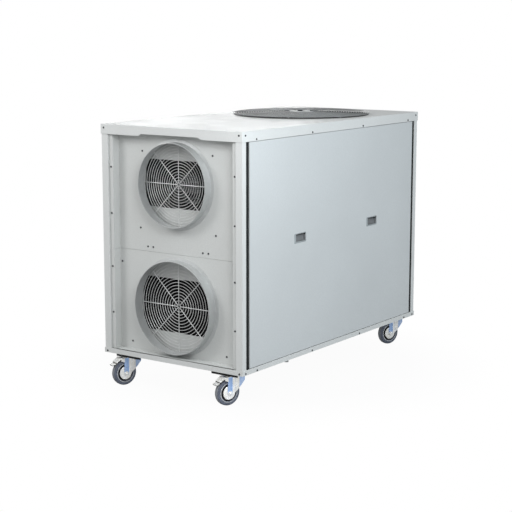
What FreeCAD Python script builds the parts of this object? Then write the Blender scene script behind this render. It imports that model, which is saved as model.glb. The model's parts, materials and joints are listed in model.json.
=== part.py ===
import FreeCAD, Part
import math
import os
import Sketcher

# Mobile duct-connected dehumidifier: a sheet-metal cabinet on four braked swivel casters.
# Millimetres. The origin is on the floor under the middle of the cabinet. X runs across the
# cabinet, -Y points to the end with the two duct collars, Z is up.

# ----------------------------------------------------------------------------------------------
# Driving dimensions
# ----------------------------------------------------------------------------------------------

DIMENSIONS = {
    # cabinet
    "cabinet_width": 836,
    "cabinet_length": 1620,
    "cap_top": 1281,
    "cap_depth": 47,
    "base_bottom": 161,
    "base_depth": 24,
    "base_floor": 3,
    "rim_wall": 2.5,
    "rim_step": 3,
    "sheet": 2,
    # corner posts
    "post_front_width": 40,
    "post_side_width": 33,
    "post_wall": 2.5,
    "land_depth": 11,
    "land_width": 20.5,
    "post_inner_depth": 22,
    "jamb_depth": 29,
    "jamb_reach": 39,
    # duct end
    "recess_depth": 58,
    "recess_half_width": 355,
    "duct_panel_seam": 678,
    "supply_height": 1010,
    "supply_radius": 200,
    "supply_rim_setback": 10,
    "return_height": 428,
    "return_radius": 225,
    "return_rim_setback": 5,
    "collar_wall": 1.5,
    "collar_hem": 3,
    "collar_foot": 15,
    "supply_guard_depth": 72,
    "return_guard_depth": 65,
    "guard_rings": 14,
    "guard_wire": 1.5,
    "guard_spoke": 2,
    "supply_ring_inner": 20,
    "supply_ring_pitch": 13.4,
    "return_ring_inner": 27,
    "return_ring_pitch": 14.8,
    "baffle_depth": 90,
    "outlet_width": 430,
    "outlet_low": 892,
    "outlet_high": 1121,
    "inlet_width": 480,
    "inlet_low": 290,
    "inlet_high": 553,
    # side panels
    "groove_width": 25,
    "seal_setback": 3,
    "panel_depth": 25.5,
    "panel_inset": 1.5,
    "pull_length": 102,
    "pull_width": 47,
    "pull_depth": 20,
    "pull_offset": 335,
    "pull_height": 744,
    # roof fan
    "fan_offset": 300,
    "fan_throat_radius": 320,
    "fan_flange_radius": 352,
    "fan_guard_radius": 356,
    "fan_guard_standoff": 4.5,
    "fan_guard_rise": 10,
    "fan_hub_radius": 78,
    "fan_blade_reach": 305,
    "fan_blades": 7,
    "motor_plate_radius": 79,
    # air handling section
    "blower_offset": 430,
    "blower_height": 915,
    "scroll_radius": 204,
    "wheel_radius": 150,
    "wheel_blades": 32,
    "bulkhead_offset": 100,
    # drain
    "drain_x": 330,
    "drain_y": 320,
    "drain_radius": 10,
    "drain_low": 117,
    "drain_stub": 38,
    # casters
    "caster_x": 315,
    "caster_front_y": 737,
    "caster_rear_y": 763,
    "caster_yaw": 20,
    "caster_trail": 38,
    "tyre_radius": 62.5,
    "tyre_width": 32,
    "rim_radius": 40,
    "axle_radius": 6,
    "running_gap": 0.05,
    "fork_gap": 44,
    "fork_wall": 3,
    "fork_leading": 46,
    "fork_trailing": 48,
    "plate_half_x": 52,
    "plate_half_y": 40,
    "plate_bolt_x": 40,
    "plate_bolt_y": 30,
    "race_radius": 30,
    "bowl_radius": 34,
    "kingpin_radius": 8,
    "disc_radius": 33,
    "channel_x": 292,
    "channel_length": 150,
    "channel_width": 90,
    "channel_wall": 4,
    "channel_drop": 19,
    "pedal_pivot_trail": 59,
    "pedal_pivot_height": 131,
    "pedal_pin_radius": 3.5,
    "pedal_reach": 50,
    "pedal_width": 43,
    "pedal_lip_width": 32,
    "pedal_shoe_width": 24,
}

doc = FreeCAD.newDocument("dehumidifier")
sheet = doc.addObject("Spreadsheet::Sheet", "Dims")


class Size:
    """A length that keeps the spreadsheet expression it was worked out from."""

    def __init__(self, value, text):
        self.value = float(value)
        self.text = text

    def __add__(self, other):
        other = size(other)
        return Size(self.value + other.value, f"({self.text} + {other.text})")

    def __radd__(self, other):
        return size(other) + self

    def __sub__(self, other):
        other = size(other)
        return Size(self.value - other.value, f"({self.text} - {other.text})")

    def __rsub__(self, other):
        return size(other) - self

    def __mul__(self, other):
        other = size(other)
        return Size(self.value * other.value, f"({self.text} * {other.text})")

    def __rmul__(self, other):
        return size(other) * self

    def __truediv__(self, other):
        other = size(other)
        return Size(self.value / other.value, f"({self.text} / {other.text})")

    def __neg__(self):
        return size(0) - self


def size(number):
    if isinstance(number, Size):
        return number
    return Size(number, f"({float(number)})")


def sine(angle):
    return Size(math.sin(math.radians(angle.value)), f"sin({angle.text})")


def cosine(angle):
    return Size(math.cos(math.radians(angle.value)), f"cos({angle.text})")


class Dimensions:
    """The spreadsheet's cells, by alias."""


def fill_sheet():
    cells = Dimensions()
    for row, (alias, number) in enumerate(DIMENSIONS.items(), start=1):
        sheet.set(f"A{row}", alias.replace("_", " "))
        sheet.set(f"B{row}", str(number))
        sheet.setAlias(f"B{row}", alias)
        setattr(cells, alias, Size(number, f"Dims.{alias}"))
    doc.recompute()
    return cells


d = fill_sheet()

HALF_WIDTH = d.cabinet_width / 2
HALF_LENGTH = d.cabinet_length / 2
CAP_BOTTOM = d.cap_top - d.cap_depth
CAP_UNDERSIDE = d.cap_top - d.rim_wall
BASE_TOP = d.base_bottom + d.base_depth
FLOOR_TOP = d.base_bottom + d.base_floor
POST_X = HALF_WIDTH - d.rim_step
POST_Y = HALF_LENGTH - d.rim_step
FLANGE_X = HALF_WIDTH - d.post_front_width
LAND_Y = POST_Y - d.land_depth
GROOVE_Y = HALF_LENGTH - d.post_side_width
PANEL_Y = GROOVE_Y - d.groove_width
JAMB_X = POST_X - d.jamb_depth
PANEL_X = HALF_WIDTH - d.panel_inset
RECESS_Y = HALF_LENGTH - d.recess_depth
BAFFLE_Y = HALF_LENGTH - d.baffle_depth
FRAME_X = d.recess_half_width + d.sheet
PANEL_LOW = BASE_TOP + d.sheet
PANEL_HIGH = CAP_BOTTOM - d.sheet

# ----------------------------------------------------------------------------------------------
# Modelling helpers
# ----------------------------------------------------------------------------------------------


def bind(item, prop, number):
    item.setExpression(prop, size(number).text)


def turned(axis, degrees):
    return FreeCAD.Rotation(FreeCAD.Vector(*axis), degrees)


def place(item, x=0, y=0, z=0, rotation=None):
    if rotation is not None:
        item.Placement = FreeCAD.Placement(FreeCAD.Vector(), rotation)
    for axis, number in zip("xyz", (x, y, z)):
        bind(item, f"Placement.Base.{axis}", number)
    return item


def box(name, x, y, z):
    """A block between a low and a high bound on each axis."""
    item = doc.addObject("Part::Box", name)
    for prop, (low, high) in zip(("Length", "Width", "Height"), (x, y, z)):
        bind(item, prop, size(high) - low)
    return place(item, x[0], y[0], z[0])


def rod(name, radius, x, y, z, length, direction=(0, 0, 1)):
    """A cylinder from a point, along a direction."""
    item = doc.addObject("Part::Cylinder", name)
    bind(item, "Radius", radius)
    bind(item, "Height", length)
    rotation = FreeCAD.Rotation(FreeCAD.Vector(0, 0, 1), FreeCAD.Vector(*direction))
    return place(item, x, y, z, rotation)


def combine(kind, name, items):
    item = doc.addObject(kind, name)
    if kind == "Part::Compound":
        item.Links = items
    else:
        item.Shapes = items
    return item


def fuse(name, *items):
    return combine("Part::MultiFuse", name, list(items))


def group(name, *items):
    return combine("Part::Compound", name, list(items))


def cut(name, base, *tools):
    item = doc.addObject("Part::Cut", name)
    item.Base = base
    item.Tool = tools[0] if len(tools) == 1 else group(name + "Tools", *tools)
    return item


def span(low, high, side):
    """A range on the positive side, or its mirror image on the negative side."""
    return (low, high) if side > 0 else (-size(high), -size(low))


def new_body(name):
    return doc.addObject("PartDesign::Body", name)


def datum(body, role):
    return next(item for item in body.Origin.OriginFeatures if item.Role == role)


def new_sketch(body, name, plane, offset=0):
    sketch = body.newObject("Sketcher::SketchObject", name)
    sketch.AttachmentSupport = [(datum(body, plane), "")]
    sketch.MapMode = "FlatFace"
    bind(sketch, "AttachmentOffset.Base.z", offset)
    return sketch


def fix_point(sketch, geometry, point, x, y):
    for kind, number in (("DistanceX", x), ("DistanceY", y)):
        number = size(number)
        constraint = Sketcher.Constraint(kind, -1, 1, geometry, point, number.value)
        index = sketch.addConstraint(constraint)
        sketch.setExpression(f"Constraints[{index}]", number.text)


def outline(sketch, points):
    """A closed polygon whose corners are bound to the given coordinates."""
    corners = [FreeCAD.Vector(size(x).value, size(y).value, 0) for x, y in points]
    first = sketch.GeometryCount
    for start, end in zip(corners, corners[1:] + corners[:1]):
        sketch.addGeometry(Part.LineSegment(start, end), False)
    for index, (x, y) in enumerate(points):
        following = first + (index + 1) % len(points)
        sketch.addConstraint(Sketcher.Constraint("Coincident", first + index, 2, following, 1))
        fix_point(sketch, first + index, 1, x, y)


def rectangle(sketch, x, y):
    outline(sketch, [(x[0], y[0]), (x[1], y[0]), (x[1], y[1]), (x[0], y[1])])


def circle(sketch, x, y, radius):
    centre = FreeCAD.Vector(size(x).value, size(y).value, 0)
    normal = FreeCAD.Vector(0, 0, 1)
    index = sketch.addGeometry(Part.Circle(centre, normal, size(radius).value), False)
    fix_point(sketch, index, 3, x, y)
    constraint = sketch.addConstraint(Sketcher.Constraint("Radius", index, size(radius).value))
    sketch.setExpression(f"Constraints[{constraint}]", size(radius).text)


def pad(body, sketch, length, reverse=False):
    feature = body.newObject("PartDesign::Pad", sketch.Name + "Pad")
    feature.Profile = sketch
    bind(feature, "Length", length)
    feature.Reversed = reverse
    return feature


def pocket(body, sketch, depth, reverse=False):
    """A pocket that has to remove material."""
    doc.recompute()
    before = body.Shape.Volume
    feature = body.newObject("PartDesign::Pocket", sketch.Name + "Pocket")
    feature.Profile = sketch
    bind(feature, "Length", depth)
    feature.Reversed = reverse
    doc.recompute()
    if body.Shape.Volume >= before:
        raise ValueError(f"{feature.Name} removes nothing")
    return feature


def revolve(body, sketch, axis):
    feature = body.newObject("PartDesign::Revolution", sketch.Name + "Turn")
    feature.Profile = sketch
    feature.ReferenceAxis = (datum(body, axis), [""])
    feature.Angle = 360
    return feature


def around(body, feature, axis, count):
    pattern = body.newObject("PartDesign::PolarPattern", feature.Name + "Ring")
    pattern.Originals = [feature]
    pattern.Axis = (datum(body, axis), [""])
    pattern.Angle = 360
    bind(pattern, "Occurrences", count)
    body.Tip = pattern
    return pattern


def along(body, feature, axis, length, count):
    pattern = body.newObject("PartDesign::LinearPattern", feature.Name + "Row")
    pattern.Originals = [feature]
    pattern.Direction = (datum(body, axis), [""])
    bind(pattern, "Length", length)
    pattern.Occurrences = count
    body.Tip = pattern
    return pattern


def free_shape(name, shape):
    """A node for a shape that neither a body nor the primitives describe well."""
    item = doc.addObject("Part::Feature", name)
    item.Shape = shape
    return item


# ----------------------------------------------------------------------------------------------
# Cabinet
# ----------------------------------------------------------------------------------------------


def base_tray():
    body = new_body("base_tray")
    plate = new_sketch(body, "TrayOutline", "XY_Plane", d.base_bottom)
    rectangle(plate, (-HALF_WIDTH, HALF_WIDTH), (-HALF_LENGTH, HALF_LENGTH))
    pad(body, plate, d.base_depth)
    inner_x = HALF_WIDTH - d.rim_wall
    inner_y = HALF_LENGTH - d.rim_wall
    hollow = new_sketch(body, "TrayHollow", "XY_Plane", BASE_TOP)
    rectangle(hollow, (-inner_x, inner_x), (-inner_y, inner_y))
    pocket(body, hollow, d.base_depth - d.base_floor)
    drain = new_sketch(body, "TrayDrainHole", "XY_Plane", FLOOR_TOP)
    circle(drain, d.drain_x, -d.drain_y, d.drain_radius + 2)
    pocket(body, drain, d.base_floor)


def roof_cap():
    body = new_body("roof_cap")
    lid = new_sketch(body, "CapOutline", "XY_Plane", CAP_BOTTOM)
    rectangle(lid, (-HALF_WIDTH, HALF_WIDTH), (-HALF_LENGTH, HALF_LENGTH))
    pad(body, lid, d.cap_depth)
    inner_x = HALF_WIDTH - d.rim_wall
    inner_y = HALF_LENGTH - d.rim_wall
    hollow = new_sketch(body, "CapHollow", "XY_Plane", CAP_BOTTOM)
    rectangle(hollow, (-inner_x, inner_x), (-inner_y, inner_y))
    pocket(body, hollow, d.cap_depth - d.rim_wall, reverse=True)
    opening = new_sketch(body, "CapFanHole", "XY_Plane", d.cap_top)
    circle(opening, 0, d.fan_offset, d.fan_throat_radius + 3)
    pocket(body, opening, d.rim_wall)
    notch_top = CAP_BOTTOM + 10
    relief = new_sketch(body, "CapRelief", "XZ_Plane", HALF_LENGTH)
    outline(relief, [(-185, CAP_BOTTOM), (185, CAP_BOTTOM), (167, notch_top), (-167, notch_top)])
    pocket(body, relief, d.rim_wall)


def corner_post(name, side, end):
    """A folded hollow post: a land for the end panel and a jamb for the side panel."""
    back_y = LAND_Y - d.post_inner_depth
    land_x = FRAME_X + 0.5
    jamb_end = GROOVE_Y - d.jamb_reach
    outer = [
        (POST_X, POST_Y),
        (POST_X, GROOVE_Y),
        (JAMB_X, GROOVE_Y),
        (JAMB_X, jamb_end),
        (JAMB_X - d.post_wall, jamb_end),
        (JAMB_X - d.post_wall, back_y),
        (land_x, back_y),
        (land_x, LAND_Y),
        (FLANGE_X, LAND_Y),
        (FLANGE_X, POST_Y),
    ]
    hollow_y = GROOVE_Y + d.post_wall
    hollow = [
        (POST_X - d.post_wall, POST_Y - d.post_wall),
        (POST_X - d.post_wall, hollow_y),
        (land_x + d.post_wall, hollow_y),
        (land_x + d.post_wall, LAND_Y - d.post_wall),
        (FLANGE_X + d.post_wall, LAND_Y - d.post_wall),
        (FLANGE_X + d.post_wall, POST_Y - d.post_wall),
    ]
    body = new_body(name)
    profile = new_sketch(body, name + "_profile", "XY_Plane", FLOOR_TOP)
    for points in (outer, hollow):
        outline(profile, [(x * side, y * end) for x, y in points])
    pad(body, profile, CAP_UNDERSIDE - FLOOR_TOP)


def duct_panel(name, low, high, wall_low, collar_height, collar_radius):
    """A recessed pan: flanges on the posts, side walls, a flat floor and one closing wall."""
    front = -(LAND_Y + d.sheet)
    back = -RECESS_Y
    edge = FLANGE_X - 0.5
    points = [
        (-edge, front),
        (-d.recess_half_width, front),
        (-d.recess_half_width, back),
        (d.recess_half_width, back),
        (d.recess_half_width, front),
        (edge, front),
        (edge, front + d.sheet),
        (FRAME_X, front + d.sheet),
        (FRAME_X, back + d.sheet),
        (-FRAME_X, back + d.sheet),
        (-FRAME_X, front + d.sheet),
        (-edge, front + d.sheet),
    ]
    body = new_body(name)
    pan = new_sketch(body, name + "_pan", "XY_Plane", low)
    outline(pan, points)
    pad(body, pan, high - low)
    wall = new_sketch(body, name + "_wall", "XY_Plane", wall_low)
    rectangle(wall, (-FRAME_X, FRAME_X), (front, back + d.sheet))
    pad(body, wall, d.sheet)
    hole = new_sketch(body, name + "_hole", "XZ_Plane", RECESS_Y)
    circle(hole, 0, collar_height, collar_radius - d.collar_wall)
    pocket(body, hole, d.sheet)


def duct_collar(name, height, radius, setback):
    """A flanged tube with a hemmed rim that a flexible duct slides over."""
    rim = -(HALF_LENGTH - setback)
    foot = -RECESS_Y
    profile = [
        (radius, rim),
        (radius, foot - 5),
        (radius + d.collar_foot, foot - d.sheet),
        (radius + d.collar_foot, foot),
        (radius - d.collar_wall, foot),
        (radius - d.collar_wall, rim + 5),
        (radius - d.collar_hem, rim + 5),
        (radius - d.collar_hem, rim),
    ]
    body = new_body(name)
    section = new_sketch(body, name + "_section", "XY_Plane")
    outline(section, profile)
    revolve(body, section, "Y_Axis")
    place(body, 0, 0, height)


def baffle_plate():
    """The inner end plate, with the blower outlet above and the return inlet below."""
    body = new_body("baffle_plate")
    face = new_sketch(body, "BaffleFace", "XZ_Plane", BAFFLE_Y)
    half = JAMB_X - 2
    rectangle(face, (-half, half), (FLOOR_TOP, PANEL_HIGH))
    for width, low, high in (
        (d.outlet_width, d.outlet_low, d.outlet_high),
        (d.inlet_width, d.inlet_low, d.inlet_high),
    ):
        rectangle(face, (-width / 2, width / 2), (low, high))
    pad(body, face, d.sheet)


def side_panel(name, side):
    """A lift-off pan with two cut-outs for the recessed pulls."""
    inner = PANEL_X - d.panel_depth
    half = PANEL_Y - 0.5
    block = box(name + "_block", span(inner, PANEL_X, side), (-half, half), (PANEL_LOW, PANEL_HIGH))
    hollow_half = half - d.sheet
    hollow = box(
        name + "_hollow",
        span(inner - 1, PANEL_X - d.sheet, side),
        (-hollow_half, hollow_half),
        (PANEL_LOW + d.sheet, PANEL_HIGH - d.sheet),
    )
    holes = []
    for end in (-1, 1):
        hole = box(
            f"{name}_pull_hole{end + 1}",
            span(PANEL_X - 5, PANEL_X + 5, side),
            pull_span(d.pull_offset * end, d.pull_length / 2 - 4),
            pull_span(d.pull_height, d.pull_width / 2 - 4),
        )
        holes.append(hole)
    cut(name, block, hollow, *holes)


def pull_span(centre, half):
    return (centre - half, centre + half)


def panel_pulls(name, side):
    """Recessed cups with a thin flange that rests on the panel's skin."""
    cups = []
    for end in (-1, 1):
        centre = d.pull_offset * end
        half_y = d.pull_length / 2
        half_z = d.pull_width / 2
        label = f"{name}_{end + 1}"
        flange = box(
            label + "_flange",
            span(PANEL_X, PANEL_X + 1, side),
            pull_span(centre, half_y),
            pull_span(d.pull_height, half_z),
        )
        shell = box(
            label + "_shell",
            span(PANEL_X - d.pull_depth, PANEL_X + 1, side),
            pull_span(centre, half_y - 4.2),
            pull_span(d.pull_height, half_z - 4.2),
        )
        hollow = box(
            label + "_hollow",
            span(PANEL_X - d.pull_depth + d.sheet, PANEL_X + 2, side),
            pull_span(centre, half_y - 4.2 - d.sheet),
            pull_span(d.pull_height, half_z - 4.2 - d.sheet),
        )
        cups.append(cut(label, fuse(label + "_outer", flange, shell), hollow))
    group(name, *cups)


def panel_seals():
    strips = []
    for side in (-1, 1):
        for end in (-1, 1):
            strip = box(
                f"Seal{side + 1}{end + 1}",
                span(JAMB_X + 0.2, POST_X - d.seal_setback, side),
                span(PANEL_Y + 0.3, GROOVE_Y - 0.2, end),
                (PANEL_LOW, PANEL_HIGH),
            )
            strips.append(strip)
    group("panel_seals", *strips)


# ----------------------------------------------------------------------------------------------
# Rear end
# ----------------------------------------------------------------------------------------------

COIL_WINDOW_X = size(290)
COIL_WINDOW_Z = (size(430), size(1030))
CONTROL_X = (size(-310), size(-50))
CONTROL_Z = (size(1080), size(1200))
CONTROL_MID_Z = (CONTROL_Z[0] + CONTROL_Z[1]) / 2
ISOLATOR_X = CONTROL_X[0] + 70
HUMIDISTAT_X = CONTROL_X[1] - 70
INLET_X = size(190)
REAR_Y = LAND_Y + d.sheet
PLATE_Y = REAR_Y + 3
SHAFT_RADIUS = size(5)
TO_REAR = turned((1, 0, 0), -90)


def rear_panel():
    """A flat sheet with a coil window and cut-outs behind the controls and the power inlet."""
    body = new_body("rear_panel")
    face = new_sketch(body, "RearFace", "XZ_Plane", -REAR_Y)
    edge = FLANGE_X - 0.5
    rectangle(face, (-edge, edge), (BASE_TOP, CAP_BOTTOM))
    rectangle(face, (-COIL_WINDOW_X, COIL_WINDOW_X), COIL_WINDOW_Z)
    rectangle(
        face,
        (CONTROL_X[0] + 12, CONTROL_X[1] - 12),
        (CONTROL_Z[0] + 12, CONTROL_Z[1] - 12),
    )
    circle(face, INLET_X, CONTROL_MID_Z, 38)
    pad(body, face, d.sheet)


def control_panel():
    plate = box("ControlPlate", CONTROL_X, (REAR_Y, PLATE_Y), CONTROL_Z)
    holes = [
        rod(f"ControlHole{index}", SHAFT_RADIUS + d.running_gap, x, REAR_Y - 1, CONTROL_MID_Z, 5, (0, 1, 0))
        for index, x in enumerate((ISOLATOR_X, HUMIDISTAT_X))
    ]
    cut("control_panel", plate, *holes)


def knob(name, x, radius, grip_length, grip_width):
    """A dial with a raised grip and a shaft through the control panel."""
    body = new_body(name)
    disc = new_sketch(body, name + "_disc", "XY_Plane", 0.3)
    circle(disc, 0, 0, radius)
    pad(body, disc, 6)
    grip = new_sketch(body, name + "_grip", "XY_Plane", 6.3)
    rectangle(grip, (-grip_width / 2, grip_width / 2), (-grip_length / 2, grip_length / 2))
    pad(body, grip, 14)
    shaft = new_sketch(body, name + "_shaft", "XY_Plane", -20)
    circle(shaft, 0, 0, SHAFT_RADIUS)
    pad(body, shaft, 20.3)
    place(body, x, PLATE_Y, CONTROL_MID_Z, TO_REAR)


def pedal_tip_y():
    """How far the pedal of a front caster reaches from the middle of the cabinet."""
    reach = (d.pedal_pivot_trail + d.pedal_reach) * cosine(d.caster_yaw)
    return d.caster_front_y + reach + d.pedal_lip_width / 2 * sine(d.caster_yaw)


def power_inlet():
    """A shrouded five-pin appliance inlet."""
    reach = pedal_tip_y() - REAR_Y
    body = new_body("power_inlet")
    flange = new_sketch(body, "InletFlange", "XY_Plane")
    rectangle(flange, (-47, 47), (-47, 47))
    pad(body, flange, 4)
    shroud = new_sketch(body, "InletShroud", "XY_Plane", 4)
    circle(shroud, 0, 0, 36)
    circle(shroud, 0, 0, 32.5)
    pad(body, shroud, reach - 4)
    pins = new_sketch(body, "InletPins", "XY_Plane", 4)
    for index in range(5):
        angle = math.radians(90 + 72 * index)
        circle(pins, 20 * math.cos(angle), 20 * math.sin(angle), 3)
    pad(body, pins, reach - 14)
    back = new_sketch(body, "InletBack", "XY_Plane")
    circle(back, 0, 0, 34)
    pad(body, back, 35, reverse=True)
    place(body, INLET_X, REAR_Y, CONTROL_MID_Z, TO_REAR)


def condenser_guard():
    """A welded wire grille in a flat frame over the coil window."""
    half_x = COIL_WINDOW_X.value
    low, high = (bound.value for bound in COIL_WINDOW_Z)
    y = REAR_Y.value
    frame = Part.makeBox(2 * half_x + 40, 3, high - low + 40, FreeCAD.Vector(-half_x - 20, y, low - 20))
    window = Part.makeBox(2 * half_x, 5, high - low, FreeCAD.Vector(-half_x, y - 1, low))
    wires = []
    rows = 24
    pitch = (high - low) / (rows + 1)
    for row in range(1, rows + 1):
        start = FreeCAD.Vector(-half_x - 10, y + 5, low + pitch * row)
        wires.append(Part.makeCylinder(1.5, 2 * half_x + 20, start, FreeCAD.Vector(1, 0, 0)))
    for x in (-half_x - 10, -half_x / 3, half_x / 3, half_x + 10):
        start = FreeCAD.Vector(x, y + 2, low - 10)
        wires.append(Part.makeCylinder(2, high - low + 20, start, FreeCAD.Vector(0, 0, 1)))
    free_shape("condenser_guard", frame.cut(window).multiFuse(wires))


# ----------------------------------------------------------------------------------------------
# Wire guards over the ducts and the roof fan
# ----------------------------------------------------------------------------------------------

SPOKES = 8


def wire_ring(radius, wire, z):
    """A ring of six-sided wire about the Z axis."""
    corners = []
    for index in range(7):
        angle = math.radians(60 * index)
        across = radius + wire * math.cos(angle)
        corners.append(FreeCAD.Vector(across, 0, z + wire * math.sin(angle)))
    section = Part.Face(Part.makePolygon(corners))
    return section.revolve(FreeCAD.Vector(), FreeCAD.Vector(0, 0, 1), 360)


def duct_guard(name, height, radius, depth, inner, pitch):
    """Rings behind eight spokes whose feet are welded to the back of the duct panel.

    Drawn about Z with the duct end upwards, then laid over to face -Y.
    """
    wire = d.guard_wire.value
    spoke = d.guard_spoke.value
    spoke_z = wire + spoke - 0.6
    panel_z = RECESS_Y.value - d.sheet.value - (HALF_LENGTH.value - depth.value)
    outer = radius.value + 6
    hub_ring = 8
    ring_radii = [hub_ring]
    for index in range(int(d.guard_rings.value)):
        ring_radii.append(inner.value + pitch.value * index)
    pieces = [wire_ring(ring_radius, wire, 0) for ring_radius in ring_radii]
    for index in range(SPOKES):
        angle = math.radians(360 * index / SPOKES)
        ray = FreeCAD.Vector(math.cos(angle), math.sin(angle), 0)
        lift = FreeCAD.Vector(0, 0, spoke_z)
        pieces.append(Part.makeCylinder(spoke, outer - hub_ring + 5, ray * (hub_ring - 1) + lift, ray))
        pieces.append(Part.makeCylinder(spoke, panel_z - spoke_z, ray * (outer + 2) + lift))
    guard = free_shape(name, pieces[0].multiFuse(pieces[1:]))
    place(guard, 0, depth - HALF_LENGTH, height, turned((1, 0, 0), 90))


def fan_guard():
    """A shallow cone of rings on eight spokes that stand on the venturi's flange."""
    ring_wire = 2
    spoke_wire = 2.5
    edge = d.fan_guard_radius.value
    rise = d.fan_guard_rise.value
    base = d.cap_top.value + d.sheet.value
    low = d.cap_top.value + d.fan_guard_standoff.value

    def spoke_z(radius):
        return low + rise * (1 - radius / edge)

    pieces = []
    rings = 21
    inner = 96
    lift = ring_wire + spoke_wire - 0.6
    for index in range(rings):
        radius = inner + (edge - inner) * index / (rings - 1)
        pieces.append(wire_ring(radius, ring_wire, spoke_z(radius) + lift))
    start = 60
    end = edge + 1
    foot_radius = d.fan_flange_radius.value - 8
    for index in range(SPOKES):
        angle = math.radians(360 * (index + 0.5) / SPOKES)
        ray = FreeCAD.Vector(math.cos(angle), math.sin(angle), 0)
        root = ray * start + FreeCAD.Vector(0, 0, spoke_z(start))
        tip = ray * end + FreeCAD.Vector(0, 0, spoke_z(end))
        pieces.append(Part.makeCylinder(spoke_wire, (tip - root).Length, root, tip - root))
        foot = ray * foot_radius + FreeCAD.Vector(0, 0, base)
        pieces.append(Part.makeCylinder(4, spoke_z(foot_radius) - base, foot))
    guard = free_shape("fan_guard", pieces[0].multiFuse(pieces[1:]))
    place(guard, 0, d.fan_offset, 0)


# ----------------------------------------------------------------------------------------------
# Roof fan
# ----------------------------------------------------------------------------------------------

FAN_LOW = size(1190)


def fan_venturi():
    body = new_body("fan_venturi")
    section = new_sketch(body, "VenturiSection", "XZ_Plane")
    throat = d.fan_throat_radius
    outline(section, [
        (throat, FAN_LOW),
        (throat + d.sheet, FAN_LOW),
        (throat + d.sheet, d.cap_top),
        (d.fan_flange_radius, d.cap_top),
        (d.fan_flange_radius, d.cap_top + d.sheet),
        (throat, d.cap_top + d.sheet),
    ])
    revolve(body, section, "Z_Axis")
    place(body, 0, d.fan_offset, 0)


def fan_motor():
    """A stator hung from a plate under the guard's spokes, with four lugs on the plate."""
    spoke_underside = d.cap_top + d.fan_guard_standoff + d.fan_guard_rise * 0.8 - 3.2
    plate_low = spoke_underside - 4
    bore = size(8) + d.running_gap
    body = new_body("fan_motor")
    section = new_sketch(body, "StatorSection", "XZ_Plane")
    outline(section, [
        (bore, 1200),
        (64, 1200),
        (64, 1268),
        (30, 1272),
        (30, plate_low),
        (d.motor_plate_radius, plate_low),
        (d.motor_plate_radius, spoke_underside),
        (bore, spoke_underside),
    ])
    revolve(body, section, "Z_Axis")
    lug = new_sketch(body, "MotorLug", "XY_Plane", spoke_underside - 1)
    rectangle(lug, (26, 70), (-9, 9))
    feature = pad(body, lug, 9)
    doc.recompute()
    around(body, feature, "Z_Axis", 4)
    place(body, 0, d.fan_offset, 0)


def fan_impeller():
    """An external-rotor hub with twisted blades."""
    hub_low = size(1184)
    body = new_body("fan_impeller")
    section = new_sketch(body, "RotorSection", "XZ_Plane")
    outline(section, [
        (0, hub_low),
        (d.fan_hub_radius, hub_low),
        (d.fan_hub_radius, 1266),
        (d.fan_hub_radius - 6, 1266),
        (d.fan_hub_radius - 6, hub_low + 6),
        (8, hub_low + 6),
        (8, 1262),
        (0, 1262),
    ])
    revolve(body, section, "Z_Axis")
    sections = []
    for name, offset, half_chord, half_rise in (
        ("BladeRoot", d.fan_hub_radius - 3, 42, 30),
        ("BladeTip", d.fan_blade_reach, 70, 26),
    ):
        profile = new_sketch(body, name, "YZ_Plane", offset)
        outline(profile, [
            (-half_chord, 1226 - half_rise),
            (half_chord, 1222 + half_rise),
            (half_chord, 1226 + half_rise),
            (-half_chord, 1230 - half_rise),
        ])
        sections.append(profile)
    blade = body.newObject("PartDesign::AdditiveLoft", "Blade")
    blade.Profile = sections[0]
    blade.Sections = [sections[1]]
    blade.Ruled = True
    doc.recompute()
    around(body, blade, "Z_Axis", d.fan_blades)
    place(body, 0, d.fan_offset, 0)


# ----------------------------------------------------------------------------------------------
# Air handling section
# ----------------------------------------------------------------------------------------------

SHELF_Z = d.duct_panel_seam
SHELF_TOP = SHELF_Z + d.sheet
BLOWER_Y = -d.blower_offset
BLOWER_SHAFT = size(12)


def blower_housing():
    """A double-inlet scroll whose mouth meets the upper opening of the baffle plate."""
    width = d.outlet_width - 4
    mouth = -(BAFFLE_Y - d.sheet - 0.2) - d.sheet
    low = d.outlet_low + 2
    top = d.blower_height + d.scroll_radius

    def scroll(name, inset, front):
        half = width / 2 - inset
        drum = rod(
            name + "Drum", d.scroll_radius - inset, -half, BLOWER_Y, d.blower_height, half * 2, (1, 0, 0)
        )
        duct = box(name + "Duct", (-half, half), (front, BLOWER_Y), (low + inset, top - inset))
        return [drum, duct]

    feet = [
        box(f"ScrollFoot{side + 1}", span(width / 2 - 40, width / 2, side),
            (BLOWER_Y - 80, BLOWER_Y + 80), (SHELF_TOP, d.blower_height - 170))
        for side in (-1, 1)
    ]
    shell = fuse("ScrollOuter", *scroll("Outer", 0, mouth + d.sheet), *feet)
    hollow = fuse("ScrollInner", *scroll("Inner", d.sheet, mouth - 5))
    eye = rod("ScrollEye", d.wheel_radius - 20, -width, BLOWER_Y, d.blower_height, width * 2, (1, 0, 0))
    cut("blower_housing", shell, fuse("ScrollVoid", hollow, eye))


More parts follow.
